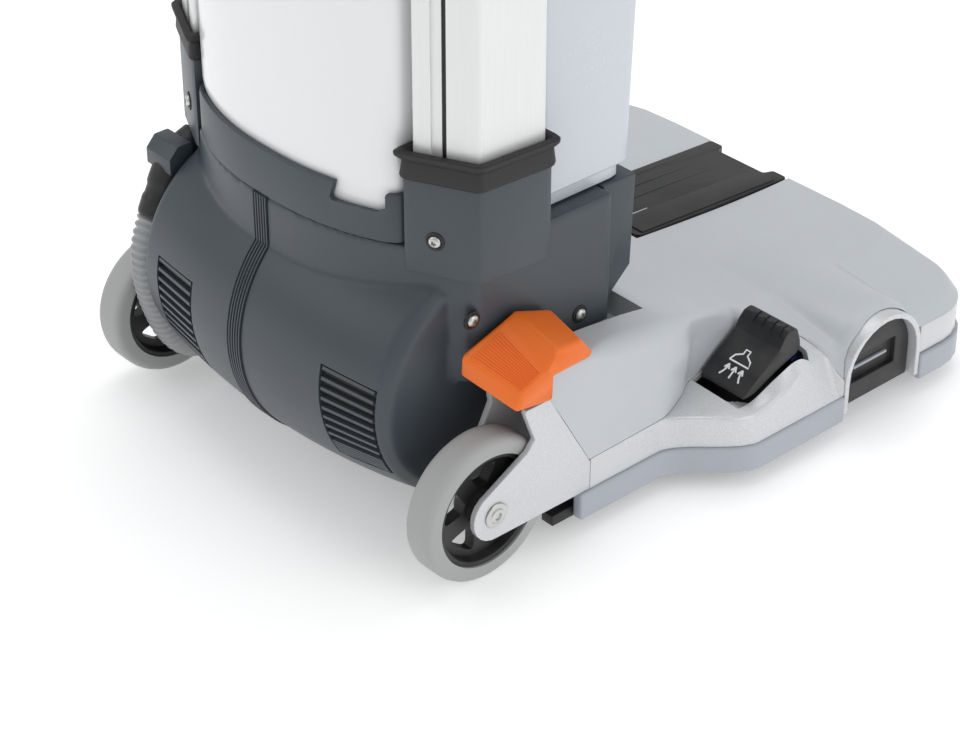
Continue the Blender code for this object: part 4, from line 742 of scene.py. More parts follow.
# %% Cut the halves, the hollow and the vents
VENTS = {"right": (61.0, 99.0), "left": (-85.0, -47.0)}
VENT_TOP, VENT_FOOT = 166.0, 214.0
core = drum_solid(-5.0, 5.0)
core_plan = bowed_plan(CHEEK_HALF - 5.0, BODY_REAR + 5.0, BODY_FRONT - 5.0, 10.0)
quick_carve(core, block_z(core_plan, 106.0, 170.0), "UNION")
for side, low, high in (("right", 0.35, 200.0), ("left", -200.0, -12.35)):
    half = loose("half", housing.data.copy())
    quick_carve(half, loose("core", core.data.copy()))
    quick_carve(half, block_x(((-80, -20), (180, -20), (180, 220), (-80, 220)), low, high), "INTERSECT")
    x0, x1 = VENTS[side]
    quick_carve(half, drum_patch(x0, x1, VENT_TOP, VENT_FOOT, 3.0, 6.0))
    if side == "left":
        quick_carve(half, block_x(((-30, 128), (8, 128), (8, 165), (-30, 165)), -140.0, -103.0))
    replace("motor_housing_" + side, "_moulding", frozen(half), 40.0)
for leftover in (housing, core):
    bpy.data.objects.remove(leftover, do_unlink=True)

# %% Ribbed strip between the halves
RIB_GROOVES, STRIP_LOW, STRIP_WIDTH = 5, -11.8, 11.6


def strip_outline(grow):
    """Side view of the strip: the drum's circle, then the body's back, top and front."""
    radius, rear, front = DRUM_RADIUS + grow, BODY_REAR - grow, BODY_FRONT + grow
    meets = 180.0 - math.degrees(math.acos((TILT_AHEAD - rear) / radius))
    drum = arc((TILT_AHEAD, TILT_HEIGHT), radius, meets, 365, 90)
    return [(rear, HOUSING_TOP)] + drum + [(front, 99.0), (front, HOUSING_TOP)]


steps = 2 * RIB_GROOVES + 1
rings = []
for step in range(steps):
    low = STRIP_LOW + step * STRIP_WIDTH / steps
    grow = 1.0 if step % 2 == 0 else 0.1
    for x in (low + 0.12, low + STRIP_WIDTH / steps - 0.12):
        rings.append([at(x, y, z) for y, z in strip_outline(grow)])
replace("housing_rib", "_strip", to_mesh("strip", skin(rings)), 30.0)
print("strip grooves", RIB_GROOVES)

# %% [markdown]
# ## Slats made by Geometry Nodes
# The vents are rows of equal bars laid round the drum. One node tree makes any such row: it sets points on an
# arc about the X axis, stands a bar on each, makes the copies real and gives them their finish.

# %% Helpers that build a node tree and run it
class Tree:
    """A Geometry Nodes tree: named inputs with first values, and one geometry output."""

    def __init__(self, name, sockets):
        self.group = bpy.data.node_groups.new(name, "GeometryNodeTree")
        for label, kind, value in sockets:
            socket = self.group.interface.new_socket(name=label, in_out="INPUT", socket_type="NodeSocket" + kind)
            if value is not None:
                socket.default_value = value
        self.group.interface.new_socket(name="Geometry", in_out="OUTPUT", socket_type="NodeSocketGeometry")
        self.given = self.add("NodeGroupInput").outputs

    def add(self, kind, settings=None, inputs=None):
        node = self.group.nodes.new(kind)
        for key, value in (settings or {}).items():
            setattr(node, key, value)
        for key, value in (inputs or {}).items():
            if isinstance(value, bpy.types.NodeSocket):
                self.group.links.new(value, node.inputs[key])
            else:
                node.inputs[key].default_value = value
        return node

    def maths(self, operation, *values):
        return self.add("ShaderNodeMath", {"operation": operation}, dict(enumerate(values))).outputs[0]

    def end(self, geometry):
        """Make the copies real, give them the finish and close the tree."""
        real = self.add("GeometryNodeRealizeInstances", None, {"Geometry": geometry})
        painted = self.add("GeometryNodeSetMaterial", None,
                           {"Geometry": real.outputs[0], "Material": self.given["Finish"]})
        self.add("NodeGroupOutput", None, {0: painted.outputs[0]})
        return self.group


def grown(name, tree, values, mesh=None):
    """Run a tree with its named inputs on a mesh, or on nothing, and return the plain mesh."""
    thing = loose(name, mesh or bpy.data.meshes.new(name))
    modifier = thing.modifiers.new("grown", "NODES")
    modifier.node_group = tree
    for socket in tree.interface.items_tree:
        if socket.in_out == "INPUT" and socket.name in values:
            modifier[socket.identifier] = values[socket.name]
    return frozen(thing)


print("tree helpers ready")

# %% Tree that lays bars round an arc
def bars_tree():
    tree = Tree("bars_on_an_arc", (
        ("Count", "Int", 8), ("Radius", "Float", 0.08), ("Start", "Float", 0.0), ("Pitch", "Float", 0.1),
        ("Size", "Vector", (0.03, 0.002, 0.002)), ("Finish", "Material", None)))
    given = tree.given
    line = tree.add("GeometryNodeMeshLine", None, {"Count": given["Count"]})
    index = tree.add("GeometryNodeInputIndex").outputs[0]
    step = tree.maths("MULTIPLY_ADD", index, given["Pitch"], given["Start"])
    ray = tree.add("ShaderNodeCombineXYZ", None,
                   {"Y": tree.maths("COSINE", step), "Z": tree.maths("SINE", step)}).outputs[0]
    place = tree.add("ShaderNodeVectorMath", {"operation": "SCALE"}, {0: ray, "Scale": given["Radius"]}).outputs[0]
    points = tree.add("GeometryNodeSetPosition", None, {"Geometry": line.outputs[0], "Position": place})
    turned_by = tree.add("ShaderNodeCombineXYZ", None, {"X": step}).outputs[0]
    bar = tree.add("GeometryNodeMeshCube", None, {"Size": given["Size"]})
    copies = tree.add("GeometryNodeInstanceOnPoints", None,
                      {"Points": points.outputs[0], "Instance": bar.outputs[0], "Rotation": turned_by})
    return tree.end(copies.outputs[0])


BARS = bars_tree()
DRUM_AXIS = at(0.0, TILT_AHEAD, TILT_HEIGHT)
print("tree", BARS.name, "has", len(BARS.nodes), "nodes")

# %% Vent grilles
for side, (x0, x1) in VENTS.items():
    centre = (x0 + x1) / 2
    radius = drum_radius(centre)

    def on_drum(mesh):
        """Tip a row of bars to follow the bowed drum, and carry it to its place."""
        for vertex in mesh.vertices:
            x = vertex.co.x
            ray = Vector((0.0, vertex.co.y, vertex.co.z))
            grow = (drum_radius(centre + x / MM) - radius) * MM
            vertex.co += ray.normalized() * grow
            vertex.co.x = x + centre * MM
        mesh.transform(Matrix.Translation(DRUM_AXIS))
        return mesh

    width = (x1 - x0 - 3.0) * MM
    # The black sheet laid on the floor of each vent recess is painted shade: it makes the gaps between the slats
    # dark.
    shade_floor = frozen(drum_patch(x0 + 0.3, x1 - 0.3, VENT_TOP + 0.2, VENT_FOOT - 0.2, 3.6, -2.7))
    settle("vent_backing_" + side, shade_floor, "upright", "black_plastic")
    for label, count, sunk, start, pitch, tall, deep in (("vent_slats", 8, 1.3, 1.4, 4.6, 2.6, 1.9),
                                                         ("vent_lines", 6, 1.1, 38.4, 1.6, 2.4, 1.3)):
        row = grown(label, BARS, {
            "Count": count, "Radius": (radius - sunk) * MM, "Start": math.radians(VENT_TOP + start),
            "Pitch": math.radians(pitch), "Size": (width, tall * MM, deep * MM), "Finish": slate.material})
        settle(label + "_" + side, on_drum(row), "upright", "slate_plastic")
print("vents", list(VENTS))

# %% [markdown]
# ## Cradle, tank and posts
# The solution tank is a blow moulding of translucent white plastic that stands in a dark cradle. Both follow
# the same bowed plan. The posts are anodised extrusions with a groove, and each stands in a rubber collar.

# %% Cradle and solution tank
CRADLE_HALF, CRADLE_TOP, CRADLE_FOOT = 83.8, 204.0, 176.3
BAY_FRONT = 66.0


def plan_ring(half, rear, front, corner, z):
    return [at(x, y, z) for x, y in bowed_plan(half, rear, front, corner)]


CRADLE_LEVELS = ((CRADLE_FOOT, 0.5), (CRADLE_FOOT + 0.5, 0.0), (CRADLE_TOP - 1.2, 0.0), (CRADLE_TOP - 0.3, 0.4),
                 (CRADLE_TOP, 1.2))
cradle = solid("cradle", [plan_ring(CRADLE_HALF - inset, BODY_REAR + inset, BAY_FRONT - inset, 9.0, z)
                          for z, inset in CRADLE_LEVELS])
bay = bowed_plan(CRADLE_HALF - 2.8, BODY_REAR + 2.8, 63.2, 7.0)
carve(cradle, block_z(bay, CRADLE_FOOT + 3.0, 212.0))
notch = filleted(((46, 193), (48, 200), (51, 212), (77, 212), (77, 195.5), (72, 193)), [2, 1, 0, 0, 1, 2], 4)
carve(cradle, solid("notch", [[at(x, y, z) for x, z in notch] for y in (-60.0, 12.0)]))
replace("tank_cradle", "_moulding", frozen(cradle))
TANK_LEVELS = ((180.0, 5.8), (181.5, 4.4), (184.0, 3.8), (203.0, 3.8), (206.0, 3.2), (212.0, 2.4), (300.0, 2.0),
               (400.0, 1.9), (498.0, 1.9), (506.0, 3.0), (512.0, 5.2), (516.5, 8.6), (519.2, 13.0), (520.0, 18.0))
tank = solid("tank", [plan_ring(CRADLE_HALF - inset, BODY_REAR + inset, BAY_FRONT - inset, 8.0, z)
                      for z, inset in TANK_LEVELS])
hollow_rings = [plan_ring(CRADLE_HALF - inset - 2.5, BODY_REAR + inset + 2.5, 63.5 - inset, 6.0,
                          min(max(z, 182.5), 517.0)) for z, inset in TANK_LEVELS[2:-2]]
quick_carve(tank, solid("hollow", hollow_rings))


def turned(profile, centre, axis, steps=64, closed=False):
    """A temporary solid turned about an axis through a point: (along, radius) pairs."""
    first, second = {"X": (1, 2), "Y": (2, 0), "Z": (0, 1)}[axis]
    third = {"X": 0, "Y": 1, "Z": 2}[axis]
    rings = []
    for run, radius in profile:
        ring = []
        for step in range(steps):
            angle = 2 * math.pi * step / steps
            point = [0.0, 0.0, 0.0]
            point[first] = max(radius, 0.01) * math.cos(angle)
            point[second] = max(radius, 0.01) * math.sin(angle)
            point[third] = run
            ring.append(at(centre[0] + point[0], centre[1] + point[1], centre[2] + point[2]))
        rings.append(ring)
    return solid("turned", rings, closed)


NECK = (0.0, 22.0, 0.0)
quick_carve(tank, turned(((508, 19.5), (531, 19.5), (532, 18.8)), NECK, "Z"), "UNION")
quick_carve(tank, turned(((500, 16.9), (540, 16.9)), NECK, "Z"))
replace("solution_tank", "_moulding", frozen(tank), 40.0)
cap_profile = ((532.4, 0), (532.4, 20.3), (521, 20.3), (521, 23.2), (521.8, 24), (533.5, 23.2), (535.6, 21.8),
               (536.3, 19), (536.3, 0))
settle("solution_cap_turning", frozen(turned(cap_profile, NECK, "Z")), "solution_tank_cap", "black_plastic",
       ("solution_tank_cap",))
print("cradle and tank follow a plan of", len(bay), "points")

# %% Sockets, collars and posts
POST_PLAN = ((88.0, -2.4), (121.6, 14.2), (124.4, 57.4), (88.6, 57.4))
POST_FOOT, POST_TOP, GROOVE_PLACE = 182, 600, 18.6
COLLAR_LEVELS = ((216.4, 3.4), (217.0, 3.9), (218.5, 4.2), (226.5, 3.5), (228.0, 4.6), (229.5, 5.6), (231.2, 5.7),
                 (232.0, 5.0), (232.0, 2.0), (230.5, 0.6), (216.4, 0.35))


def post_plan(side, distance, corner=4.0):
    """Plan of a post grown by a distance, anticlockwise on either side."""
    moved = []
    for index in range(4):
        here = Vector(POST_PLAN[index])
        before = (here - Vector(POST_PLAN[index - 1])).normalized()
        after = (Vector(POST_PLAN[(index + 1) % 4]) - here).normalized()
        first, second = Vector((before.y, -before.x)), Vector((after.y, -after.x))
        centre = (first + second).normalized()
        moved.append(tuple(here + centre * (distance / centre.dot(first))))
    outline = filleted(moved, [corner * 0.8, corner, corner, corner * 0.8], 6)
    return outline if side > 0 else [(-x, y) for x, y in reversed(outline)]


def along_post(plan, low, high):
    return [[at(x, y, z) for x, y in plan] for z in (low, high)]


POST_EDGE = Vector(POST_PLAN[0])
POST_RUN = (Vector(POST_PLAN[1]) - POST_EDGE).normalized()
POST_OUT = Vector((POST_RUN.y, -POST_RUN.x))


def on_post_face(side, place, half_width, deep, proud):
    """Plan of a strip along the post's outer face, from deep below it to proud of it."""
    first = POST_EDGE + POST_RUN * (place - half_width)
    last = POST_EDGE + POST_RUN * (place + half_width)
    corners = (first + POST_OUT * proud, first - POST_OUT * deep, last - POST_OUT * deep, last + POST_OUT * proud)
    return [(side * point.x, point.y) for point in corners]


for label, side in (("right", 1), ("left", -1)):
    soften("post_socket_" + label, 1.1)
    rings = [[at(x, y, z) for x, y in post_plan(side, spare, 5.5 if spare > 3 else 4.0)]
             for z, spare in COLLAR_LEVELS]
    replace("post_collar_" + label, "_rubber", to_mesh("collar", skin(rings, closed=True)), 40.0)
    post = solid("post", along_post(post_plan(side, 0.0), POST_FOOT, POST_TOP))
    carve(post, solid("bore", along_post(post_plan(side, -3.0), 170, 610)))
    for place, half_width, depth in ((16.0, 4.2, 1.3), (GROOVE_PLACE, 1.3, 2.6)):
        carve(post, block_z(on_post_face(side, place, half_width, depth, 3), 170.0, 610.0))
    replace("post_" + label, "_extrusion", frozen(post))
    # The black strip at the foot of each groove is painted shade: it makes the groove look dark.
    strip = block_z(on_post_face(side, GROOVE_PLACE, 1.2, 2.5, -2.0), 182.0, 599.0)
    settle("post_groove_" + label, frozen(strip), "upright", "black_rubber")
soften("front_base_cover", 1.0)
print("posts stand", POST_TOP - POST_FOOT, "mm tall")

# %% [markdown]
# ## Foot pedal and suction rocker
# The pedal is skinned through sections that change from its inner to its outer side. Its corners are
# filleted in every section, and its end sections shrink so the ends are round too. Fine ribs stop the shoe
# from slipping. The black rocker carries a small white picture of a suction nozzle.

# %% Pedal
PEDAL_INNER, PEDAL_OUTER = 119.5, 152.3
PEDAL_IN = ((2.5, 113), (3, 123.5), (31.7, 133.7), (40, 136.4), (64.7, 126.7), (73, 113.5), (37, 113), (36.8, 104))
PEDAL_OUT = ((12.4, 101), (16, 110), (33, 117), (40, 127), (57, 126), (66.5, 114), (37.2, 113), (36.6, 97.5))
PEDAL_CORNERS = [1.2, 2.4, 9.0, 4.0, 4.5, 2.0, 1.0, 0.8]


def pedal_corner(index, spread):
    (y0, z0), (y1, z1) = PEDAL_IN[index], PEDAL_OUT[index]
    return y0 + (y1 - y0) * spread, z0 + (z1 - z0) * spread


rings = []
for step in range(33):
    spread = step / 32
    x = PEDAL_INNER + (PEDAL_OUTER - PEDAL_INNER) * spread
    outline = filleted([pedal_corner(index, spread) for index in range(8)], PEDAL_CORNERS, 5)
    near_end = max(2.0 - min(x - PEDAL_INNER, PEDAL_OUTER - x), 0.0)
    shrink = 2.0 - math.sqrt(max(4.0 - near_end ** 2, 0.0))
    mid_y = sum(y for y, z in outline) / len(outline)
    mid_z = sum(z for y, z in outline) / len(outline)
    ring = []
    for y, z in outline:
        reach = math.hypot(y - mid_y, z - mid_z)
        keep = 1.0 - min(shrink / reach, 0.12)
        ring.append(at(x, mid_y + (y - mid_y) * keep, mid_z + (z - mid_z) * keep))
    rings.append(ring)
pedal = solid("pedal", rings)
hollow = [[at(x, y, z) for y, z in outline] for x, outline in (
    (PEDAL_INNER + 1.8, ((4.8, 90), (5.6, 118.6), (32, 128.4), (46.5, 130), (46.5, 90))),
    (PEDAL_OUTER - 1.8, ((17, 90), (18.4, 105.5), (33, 112), (46.5, 120), (46.5, 90))))]
carve(pedal, solid("hollow", hollow))
replace("tilt_pedal", "_moulding", frozen(pedal), 50.0)

PEDAL_RIBS = 13
ribs = []
for index in range(PEDAL_RIBS):
    share = 0.10 + 0.72 * index / (PEDAL_RIBS - 1)
    rows = []
    for spread in (0.12, 0.34, 0.56, 0.78, 0.94):
        x = PEDAL_INNER + (PEDAL_OUTER - PEDAL_INNER) * spread
        first, second = Vector(pedal_corner(1, spread)), Vector(pedal_corner(2, spread))
        run = (second - first).normalized()
        out = Vector((-run.y, run.x))
        foot = first + (second - first) * share
        rows.append([at(x, *(foot + run * side * 0.62 + out * lift))
                     for side, lift in ((-1, -0.4), (1, -0.4), (0.45, 0.55), (-0.45, 0.55))])
    ribs.append(rows)
settle("pedal_ribs", gathered("pedal_ribs", ribs), "tilt_pedal", "pedal_orange", (), 30.0)
print("pedal ribs", PEDAL_RIBS)

# %% Rocker
ROCKER_IN, ROCKER_OUT = 135.0, 168.5
ROCKER = ((165, 49.0), (166, 51.5), (176, 59.2), (187, 66.6), (192.5, 70.8), (195.5, 76.2), (199, 79.5), (203, 80),
          (206.5, 77.5), (209, 70), (209.5, 66), (207, 62.5), (190, 56.5), (172, 49.5))


ROCKER_CORNERS = [1, 1, 9, 6, 5, 3, 2.5, 2, 2, 2, 1.5, 1.5, 4, 1]
RIDGE_SECTION = ((193.5, 72.5), (196.0, 77.6), (199.2, 80.4), (202.8, 80.6), (202.0, 76.0), (196.0, 72.0))


def rocker_rings(low, high, end):
    """The rocker's side outline between two x values, with soft ends."""
    outline = filleted(ROCKER, ROCKER_CORNERS, 5)
    mid_y, mid_z = 190.0, 65.0
    rings = []
    for x, inset in ((low, end), (low + 0.35 * end, 0.35 * end), (low + end, 0), (high - end, 0),
                     (high - 0.35 * end, 0.35 * end), (high, end)):
        ring = []
        for y, z in outline:
            reach = math.hypot(y - mid_y, z - mid_z)
            keep = (reach - inset) / reach
            ring.append(at(x, mid_y + (y - mid_y) * keep, mid_z + (z - mid_z) * keep))
        rings.append(ring)
    return rings


replace("suction_rocker", "_moulding", to_mesh("rocker", skin(rocker_rings(ROCKER_IN, ROCKER_OUT, 1.2))), 40.0)
section = filleted(RIDGE_SECTION, [0.5, 1.5, 1.5, 1.2, 0.5, 0.5], 3)
ridges = []
for index in range(4):
    x = ROCKER_IN + 7.0 + index * 6.6
    ridges.append([[at(edge, y, z) for y, z in section] for edge in (x, x + 2.6)])
settle("rocker_ridges", gathered("rocker_ridges", ridges), "suction_rocker", "black_plastic")
print("rocker ridges", len(ridges))

# %% The nozzle picture on the rocker
white_ink = moulded("white_ink", (0.86, 0.86, 0.86), 0.45, shade=0.01)
FACE_LOW, FACE_HIGH = Vector((167.2, 52.6)), Vector((188.0, 67.6))
face_run = (FACE_HIGH - FACE_LOW).normalized()
face_out = Vector((-face_run.y, face_run.x))


def on_rocker(u, v, lift):
    """A point of the picture: u to the right, v up the slope, lift off the face."""
    bow = 0.18 * math.sin(math.pi * min(max(v / 25.0, 0.0), 1.0))
    place = FACE_LOW + face_run * v + face_out * (lift + bow)
    return at(152.6 + u, place.x, place.y)


def stroke(points, width):
    """The rings of one inked line along picture points."""
    line = [Vector(point) for point in points]
    rings = []
    for index, point in enumerate(line):
        run = (line[min(index + 1, len(line) - 1)] - line[max(index - 1, 0)]).normalized()
        side = Vector((-run.y, run.x)) * width / 2
        rings.append([on_rocker(*(point + side), 0.28), on_rocker(*(point - side), 0.28),
                      on_rocker(*(point - side), -0.5), on_rocker(*(point + side), -0.5)])
    return rings


NOZZLE = ((-7.0, 12.6), (7.0, 12.6), (5.6, 16.2), (1.6, 18.6), (1.6, 21.6), (-1.6, 21.6), (-1.6, 18.6),
          (-5.6, 16.2), (-7.0, 12.6), (-6.2, 12.6))
strokes = [stroke(NOZZLE, 0.95)]
for centre, bend in ((-5.0, -1.6), (0.0, 0.0), (5.0, 1.6)):
    tail = [(centre + bend * (1 - step / 6) ** 2 * 1.4, 2.6 + 6.2 * step / 6) for step in range(7)]
    strokes.append(stroke(tail, 0.95))
    strokes += [stroke([(centre + aside, 7.2), (centre, 10.2)], 0.9) for aside in (-1.7, 1.7)]
settle("rocker_picture", gathered("rocker_picture", strokes), "suction_rocker", "tank_white", (), 30.0, white_ink)
print("picture strokes", len(strokes))

# %% [markdown]
# ## Hose, wheels and screws
# The suction hose is a bellows: a tube whose radius rises and falls along its path, so Geometry Nodes sweeps a
# circle along the path with a changing scale. It is not attached to a body.

# %% Tree that sweeps a bellows along a path
HOSE_X = -115.3
HOSE_PATH = ((-16.4, 114.5), (-22, 101.5), (-24.3, 87), (-23, 71), (-19, 55), (-13, 40), (-4, 28), (9, 21.3),
             (30, 20.5), (50, 22.5), (64.6, 24))


def through(points, steps):
    """A smooth curve through chosen points."""
    padded = [points[0]] + list(points) + [points[-1]]
    route = []
    for index in range(1, len(padded) - 2):
        a, b, c, d = [Vector(point) for point in padded[index - 1:index + 3]]
        for step in range(steps):
            t = step / steps
            route.append(0.5 * (2 * b + (c - a) * t + (2 * a - 5 * b + 4 * c - d) * t * t
                                + (3 * b - a - 3 * c + d) * t ** 3))
    return route + [Vector(points[-1])]


def bellows_tree():
    tree = Tree("bellows", (
        ("Geometry", "Geometry", None), ("Radius", "Float", 0.0095), ("Depth", "Float", 0.09),
        ("Pitch", "Float", 0.0042), ("Finish", "Material", None)))
    given = tree.given
    path = tree.add("GeometryNodeMeshToCurve", None, {"Mesh": given["Geometry"]})
    fine = tree.add("GeometryNodeResampleCurve", None, {"Curve": path.outputs[0], "Count": 420})
    length = tree.add("GeometryNodeSplineParameter").outputs["Length"]
    angle = tree.maths("MULTIPLY", tree.maths("DIVIDE", length, given["Pitch"]), 2 * math.pi)
    scale = tree.maths("MULTIPLY_ADD", tree.maths("COSINE", angle), given["Depth"], 1.0)
    circle = tree.add("GeometryNodeCurvePrimitiveCircle", None, {"Resolution": 32, "Radius": given["Radius"]})
    sweep = tree.add("GeometryNodeCurveToMesh", None, {
        "Curve": fine.outputs[0], "Profile Curve": circle.outputs[0], "Scale": scale, "Fill Caps": True})
    return tree.end(sweep.outputs[0])


path_points = [at(HOSE_X, *point) for point in through(HOSE_PATH, 8)]
path_mesh = bpy.data.meshes.new("hose_path")
path_mesh.from_pydata(path_points, [(i, i + 1) for i in range(len(path_points) - 1)], [])
hose_mesh = grown("hose", bellows_tree(), {"Finish": hose_grey.material}, path_mesh)
work = bmesh.new()
work.from_mesh(hose_mesh)
bmesh.ops.remove_doubles(work, verts=work.verts, dist=0.005 * MM)
bmesh.ops.recalc_face_normals(work, faces=work.faces)
work.to_mesh(hose_mesh)
work.free()
hose = settle("suction_hose_bellows", hose_mesh, None, "hose_grey", ("suction_hose",), 60.0)
at(HOSE_X, *HOSE_PATH[1])
at(HOSE_X, -4, 28)
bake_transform(hose)
print("hose faces", len(hose_mesh.polygons))

# %% Cuff of the hose
ELBOW_PATH = ((14, 150), (4, 146), (-4, 139), (-10, 128), (-14.5, 118.5), (-17, 113))
route = through(ELBOW_PATH, 5)
rings = []
for index, point in enumerate(route):
    run = (route[min(index + 1, len(route) - 1)] - route[max(index - 1, 0)]).normalized()
    share = index / (len(route) - 1)
    radius = 11.0 if share < 0.93 else 11.0 - (share - 0.93) * 8.0
    radius = radius if share < 0.60 or share > 0.68 else 10.2
    rings.append([at(HOSE_X + radius * math.cos(a), point.x - run.y * radius * math.sin(a),
                     point.y + run.x * radius * math.sin(a)) for a in (2 * math.pi * k / 40 for k in range(40))])
settle("hose_cuff", to_mesh("hose_cuff", skin(rings)), "upright", "black_plastic", ("hose_elbow",), 45.0)
block = filleted(((-13, 141), (3, 141), (3, 157.5), (-7, 157.5), (-13, 151)), 1.5, 3)
block = rounded_edges(block_x(block, -126.0, -104.0), 0.8)
settle("hose_block", frozen(block), "upright", "slate_plastic")

# %% Wheels: tyre, dished hub and axle washer
WHEEL_RADIUS, WHEEL_X, SPOKES = 42.5, 136.1, 5
TYRE_PROFILE = ((-9.65, 33), (-9.65, 38.4), (-9.2, 40.2), (-8.0, 41.6), (-6.2, 42.35), (-4.0, 42.5), (4.0, 42.5),
                (6.2, 42.35), (8.0, 41.6), (9.2, 40.2), (9.65, 38.4), (9.65, 33))
HUB_PROFILE = ((-8.4, 4.4), (-8.4, 9.0), (-7.6, 10.0), (-3.6, 11.0), (-3.2, 29.0), (-8.0, 30.2), (-8.5, 30.8),
               (-8.5, 32.6), (8.5, 32.6), (8.5, 30.8), (8.0, 30.2), (3.2, 29.0), (3.6, 11.0), (7.6, 10.0),
               (8.4, 9.0), (8.4, 4.4))
for label, side in (("right", 1), ("left", -1)):
    centre = (side * WHEEL_X, 0.0, WHEEL_RADIUS)
    replace("tyre_" + label, "_rubber", frozen(turned(TYRE_PROFILE, centre, "X", 96, closed=True)), 50.0)
    hub = turned(HUB_PROFILE, centre, "X", 80, closed=True)
    for index in range(SPOKES):
        angle = 2 * math.pi * index / SPOKES + 0.3
        cell = []
        for radius, spread in ((13.5, 0.22), (27.0, 0.42), (27.0, -0.42), (13.5, -0.22)):
            cell.append((radius * math.cos(angle + spread), WHEEL_RADIUS + radius * math.sin(angle + spread)))
        carve(hub, block_x(filleted(cell, 3.0, 4), centre[0] - 14.0, centre[0] + 14.0))
    replace("hub_" + label, "_moulding", frozen(hub))
    face = REAR_HALF + 0.3
    axle = [(side * x, r) for x, r in ((125.95, 0), (125.95, 4.0), (face + 0.25, 4.0), (face + 0.25, 6.9),
                                       (face + 0.7, 7.3), (face + 1.1, 6.9), (face + 1.2, 4.4), (face + 1.9, 4.0),
                                       (face + 2.2, 3.2), (face + 2.2, 2.2), (face + 1.2, 1.8), (face + 1.2, 0))]
    axle = turned(axle, (0.0, 0.0, WHEEL_RADIUS), "X", 48)
    replace("wheel_axle_" + label, "_turning", frozen(axle))
print("tyre points", len(TYRE_PROFILE))

# %% [markdown]
# ## Screws
# Every screw is the same domed head with a six-lobed star socket, standing in a dark countersink. One is made,
# and Geometry Nodes copies it to each place and turns it to face outwards.

# %% One screw head and the tree that copies it
SCREW_STEPS = 24


def screw_rings():
    rings = []
    for height, radius, lobed in ((-1.2, 3.4, 0), (0.9, 3.4, 0), (1.5, 3.15, 0), (2.0, 2.5, 0), (2.2, 1.75, 1),
                                  (0.9, 1.6, 1)):
        ring = []
        for step in range(SCREW_STEPS):
            angle = 2 * math.pi * step / SCREW_STEPS
            size = radius * (1.0 - 0.16 * lobed * (1 - math.cos(6 * angle)))
            ring.append(Vector((size * math.cos(angle), size * math.sin(angle), height)) * MM)
        rings.append(ring)
    return rings


SCREWS = [(side * 116.1, ahead, z, (side, 0.0, 0.0)) for side in (1, -1) for ahead, z in ((14, 139), (90, 111.5))]
SCREWS += [(side * 102.4, 1.8, 183.9, (side * 0.443, -0.897, 0.0)) for side in (1, -1)]
SCREWS += [(side * 60.0, 137.2, z, (0.0, 1.0, 0.0)) for side in (1, -1) for z in (132, 166)]


def copies_tree():
    tree = Tree("copies_on_points", (("Geometry", "Geometry", None), ("Shape", "Object", None),
                                     ("Finish", "Material", None)))
    given = tree.given
    shape = tree.add("GeometryNodeObjectInfo", None, {"Object": given["Shape"]})
    facing = tree.add("GeometryNodeInputNamedAttribute", {"data_type": "FLOAT_VECTOR"}, {"Name": "facing"})
    aim = tree.add("FunctionNodeAlignEulerToVector", {"axis": "Z"}, {"Vector": facing.outputs["Attribute"]})
    copies = tree.add("GeometryNodeInstanceOnPoints", None, {
        "Points": given["Geometry"], "Instance": shape.outputs["Geometry"], "Rotation": aim.outputs[0]})
    return tree.end(copies.outputs[0])


COPIES = copies_tree()


def copied(name, shape_mesh, places, finish):
    """Copies of a shape on (point, facing) places, as one plain mesh."""
    shape = loose("shape", shape_mesh)
    cloud = bpy.data.meshes.new(name)
    cloud.from_pydata([point for point, facing in places], [], [])
    cloud.attributes.new("facing", "FLOAT_VECTOR", "POINT").data.foreach_set(
        "vector", [value for point, facing in places for value in facing])
    mesh = grown(name, COPIES, {"Shape": shape, "Finish": finish.material}, cloud)
    bpy.data.objects.remove(shape, do_unlink=True)
    return mesh


screw_places = [(at(x, ahead, z), facing) for x, ahead, z, facing in SCREWS]
screws = copied("screw_heads", to_mesh("screw", skin(screw_rings())), screw_places, steel)
settle("screw_heads", screws, "upright", "steel", (), 30.0)
sink_profile = [(-0.6, 5.2), (0.35, 5.2), (0.7, 4.9), (0.7, 3.9), (0.1, 3.6), (0.1, 0.02), (-0.6, 0.02)]
sink_rings = [ring_of(radius, height, 24) for height, radius in sink_profile]
sinks = copied("screw_sinks", to_mesh("sink", skin(sink_rings, closed=True)), screw_places, black)
settle("screw_sinks", sinks, "upright", "black_plastic")
print("screws", len(screw_places))

# %% [markdown]
# ## Duct panel, brush and upper parts
# The panel over the suction duct has raised strips and step lines. The brush is a core with spiral tufts of
# bristles. The parts above, the recovery tank, yoke, tube, head and grip, keep their shape and get soft edges.

# %% Details on the duct panel
def panel_strip(name, low, high, rear, front, lift, slot_name):
    outline = []
    for ahead in (rear, front):
        (top,) = smooth_along(CROWN, ahead)
        outline.append((ahead, top + 0.4 + lift))
    outline += [(front, smooth_along(CROWN, front)[0] - 1.0), (rear, smooth_along(CROWN, rear)[0] - 1.0)]
    settle(name, frozen(rounded_edges(block_x(outline, low, high), 0.35, 2)), "duct_panel", slot_name)


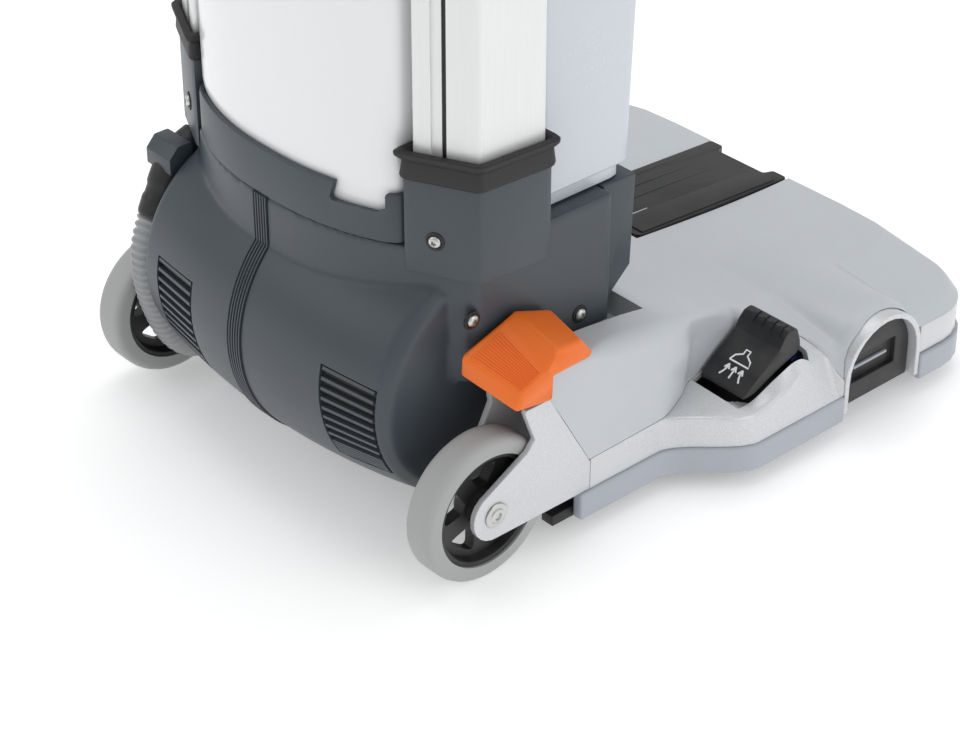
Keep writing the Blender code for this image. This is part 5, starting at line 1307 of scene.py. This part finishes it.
PANEL_REAR, PANEL_FRONT, PANEL_STEPS, STEP_PITCH = 229.0, 343.0, 3, 11.0
panel_strip("panel_raised_strip", 6.0, 24.5, PANEL_REAR, PANEL_FRONT, 1.3, "black_plastic")
panel_strip("panel_light_gap", 2.6, 4.2, PANEL_REAR, PANEL_FRONT, 0.25, "bumper_grey")
for index in range(PANEL_STEPS):
    right = STEP_PITCH * index
    panel_strip("panel_step_" + str(index), -34.0 + right, -32.4 + right, PANEL_REAR, 338.0, 0.7, "black_plastic")
bar = block_x(((252, 33.6), (280, 33.6), (280, 35.4), (252, 35.4)), 170.5, 172.5)
settle("end_cap_bar", frozen(rounded_edges(bar, 0.3, 2)), "brush_carrier", "bumper_grey")
print("panel step lines", PANEL_STEPS)

# %% Brush bristles
BRUSH_HEIGHT, TUFT_ROWS, TUFTS_IN_ROW, TUFT_FOOT = 28.5, 10, 72, 13.2
BRUSH_START, BRUSH_LENGTH, TWIST = -128.0, 280.0, math.pi * 1.2
tuft_places = []
for row in range(TUFT_ROWS):
    for step in range(TUFTS_IN_ROW):
        share = step / (TUFTS_IN_ROW - 1)
        angle = 2 * math.pi * row / TUFT_ROWS + share * TWIST
        ray = (0.0, math.cos(angle), math.sin(angle))
        foot = at(BRUSH_START + BRUSH_LENGTH * share, BRUSH_AHEAD + TUFT_FOOT * ray[1],
                  BRUSH_HEIGHT + TUFT_FOOT * ray[2])
        tuft_places.append((foot, ray))
tuft_rings = [ring_of(radius, height, 6) for height, radius in ((-0.1, 1.1), (7.0, 1.5), (14.1, 1.9))]
tufts = copied("brush_tufts", to_mesh("tuft", skin(tuft_rings)), tuft_places, bristle)
settle("brush_tufts", tufts, "brush", "bristle", ("brush_bristles",), 40.0)
print("tufts", len(tuft_places))

# %% Soft edges on the parts above and below
for node, radius in (("recovery_tank", 1.5), ("recovery_tank_lid", 1.6), ("handle_yoke", 2.0), ("handle_head", 1.5),
                     ("dosing_trigger", 0.9), ("power_switch", 0.8), ("cable_hook", 0.8), ("brush_core", 0.4),
                     ("drive_belt", 0.3), ("brush_motor", 0.8), ("handle_tube", 0.4), ("solution_pump", 0.6)):
    soften(node, radius)
grip = loose("grip", merged_copy("grip_loop"))
even = grip.modifiers.new("even", "SUBSURF")
even.levels = even.render_levels = 1
replace("grip_loop", "_rubber", frozen(grip), 60.0)
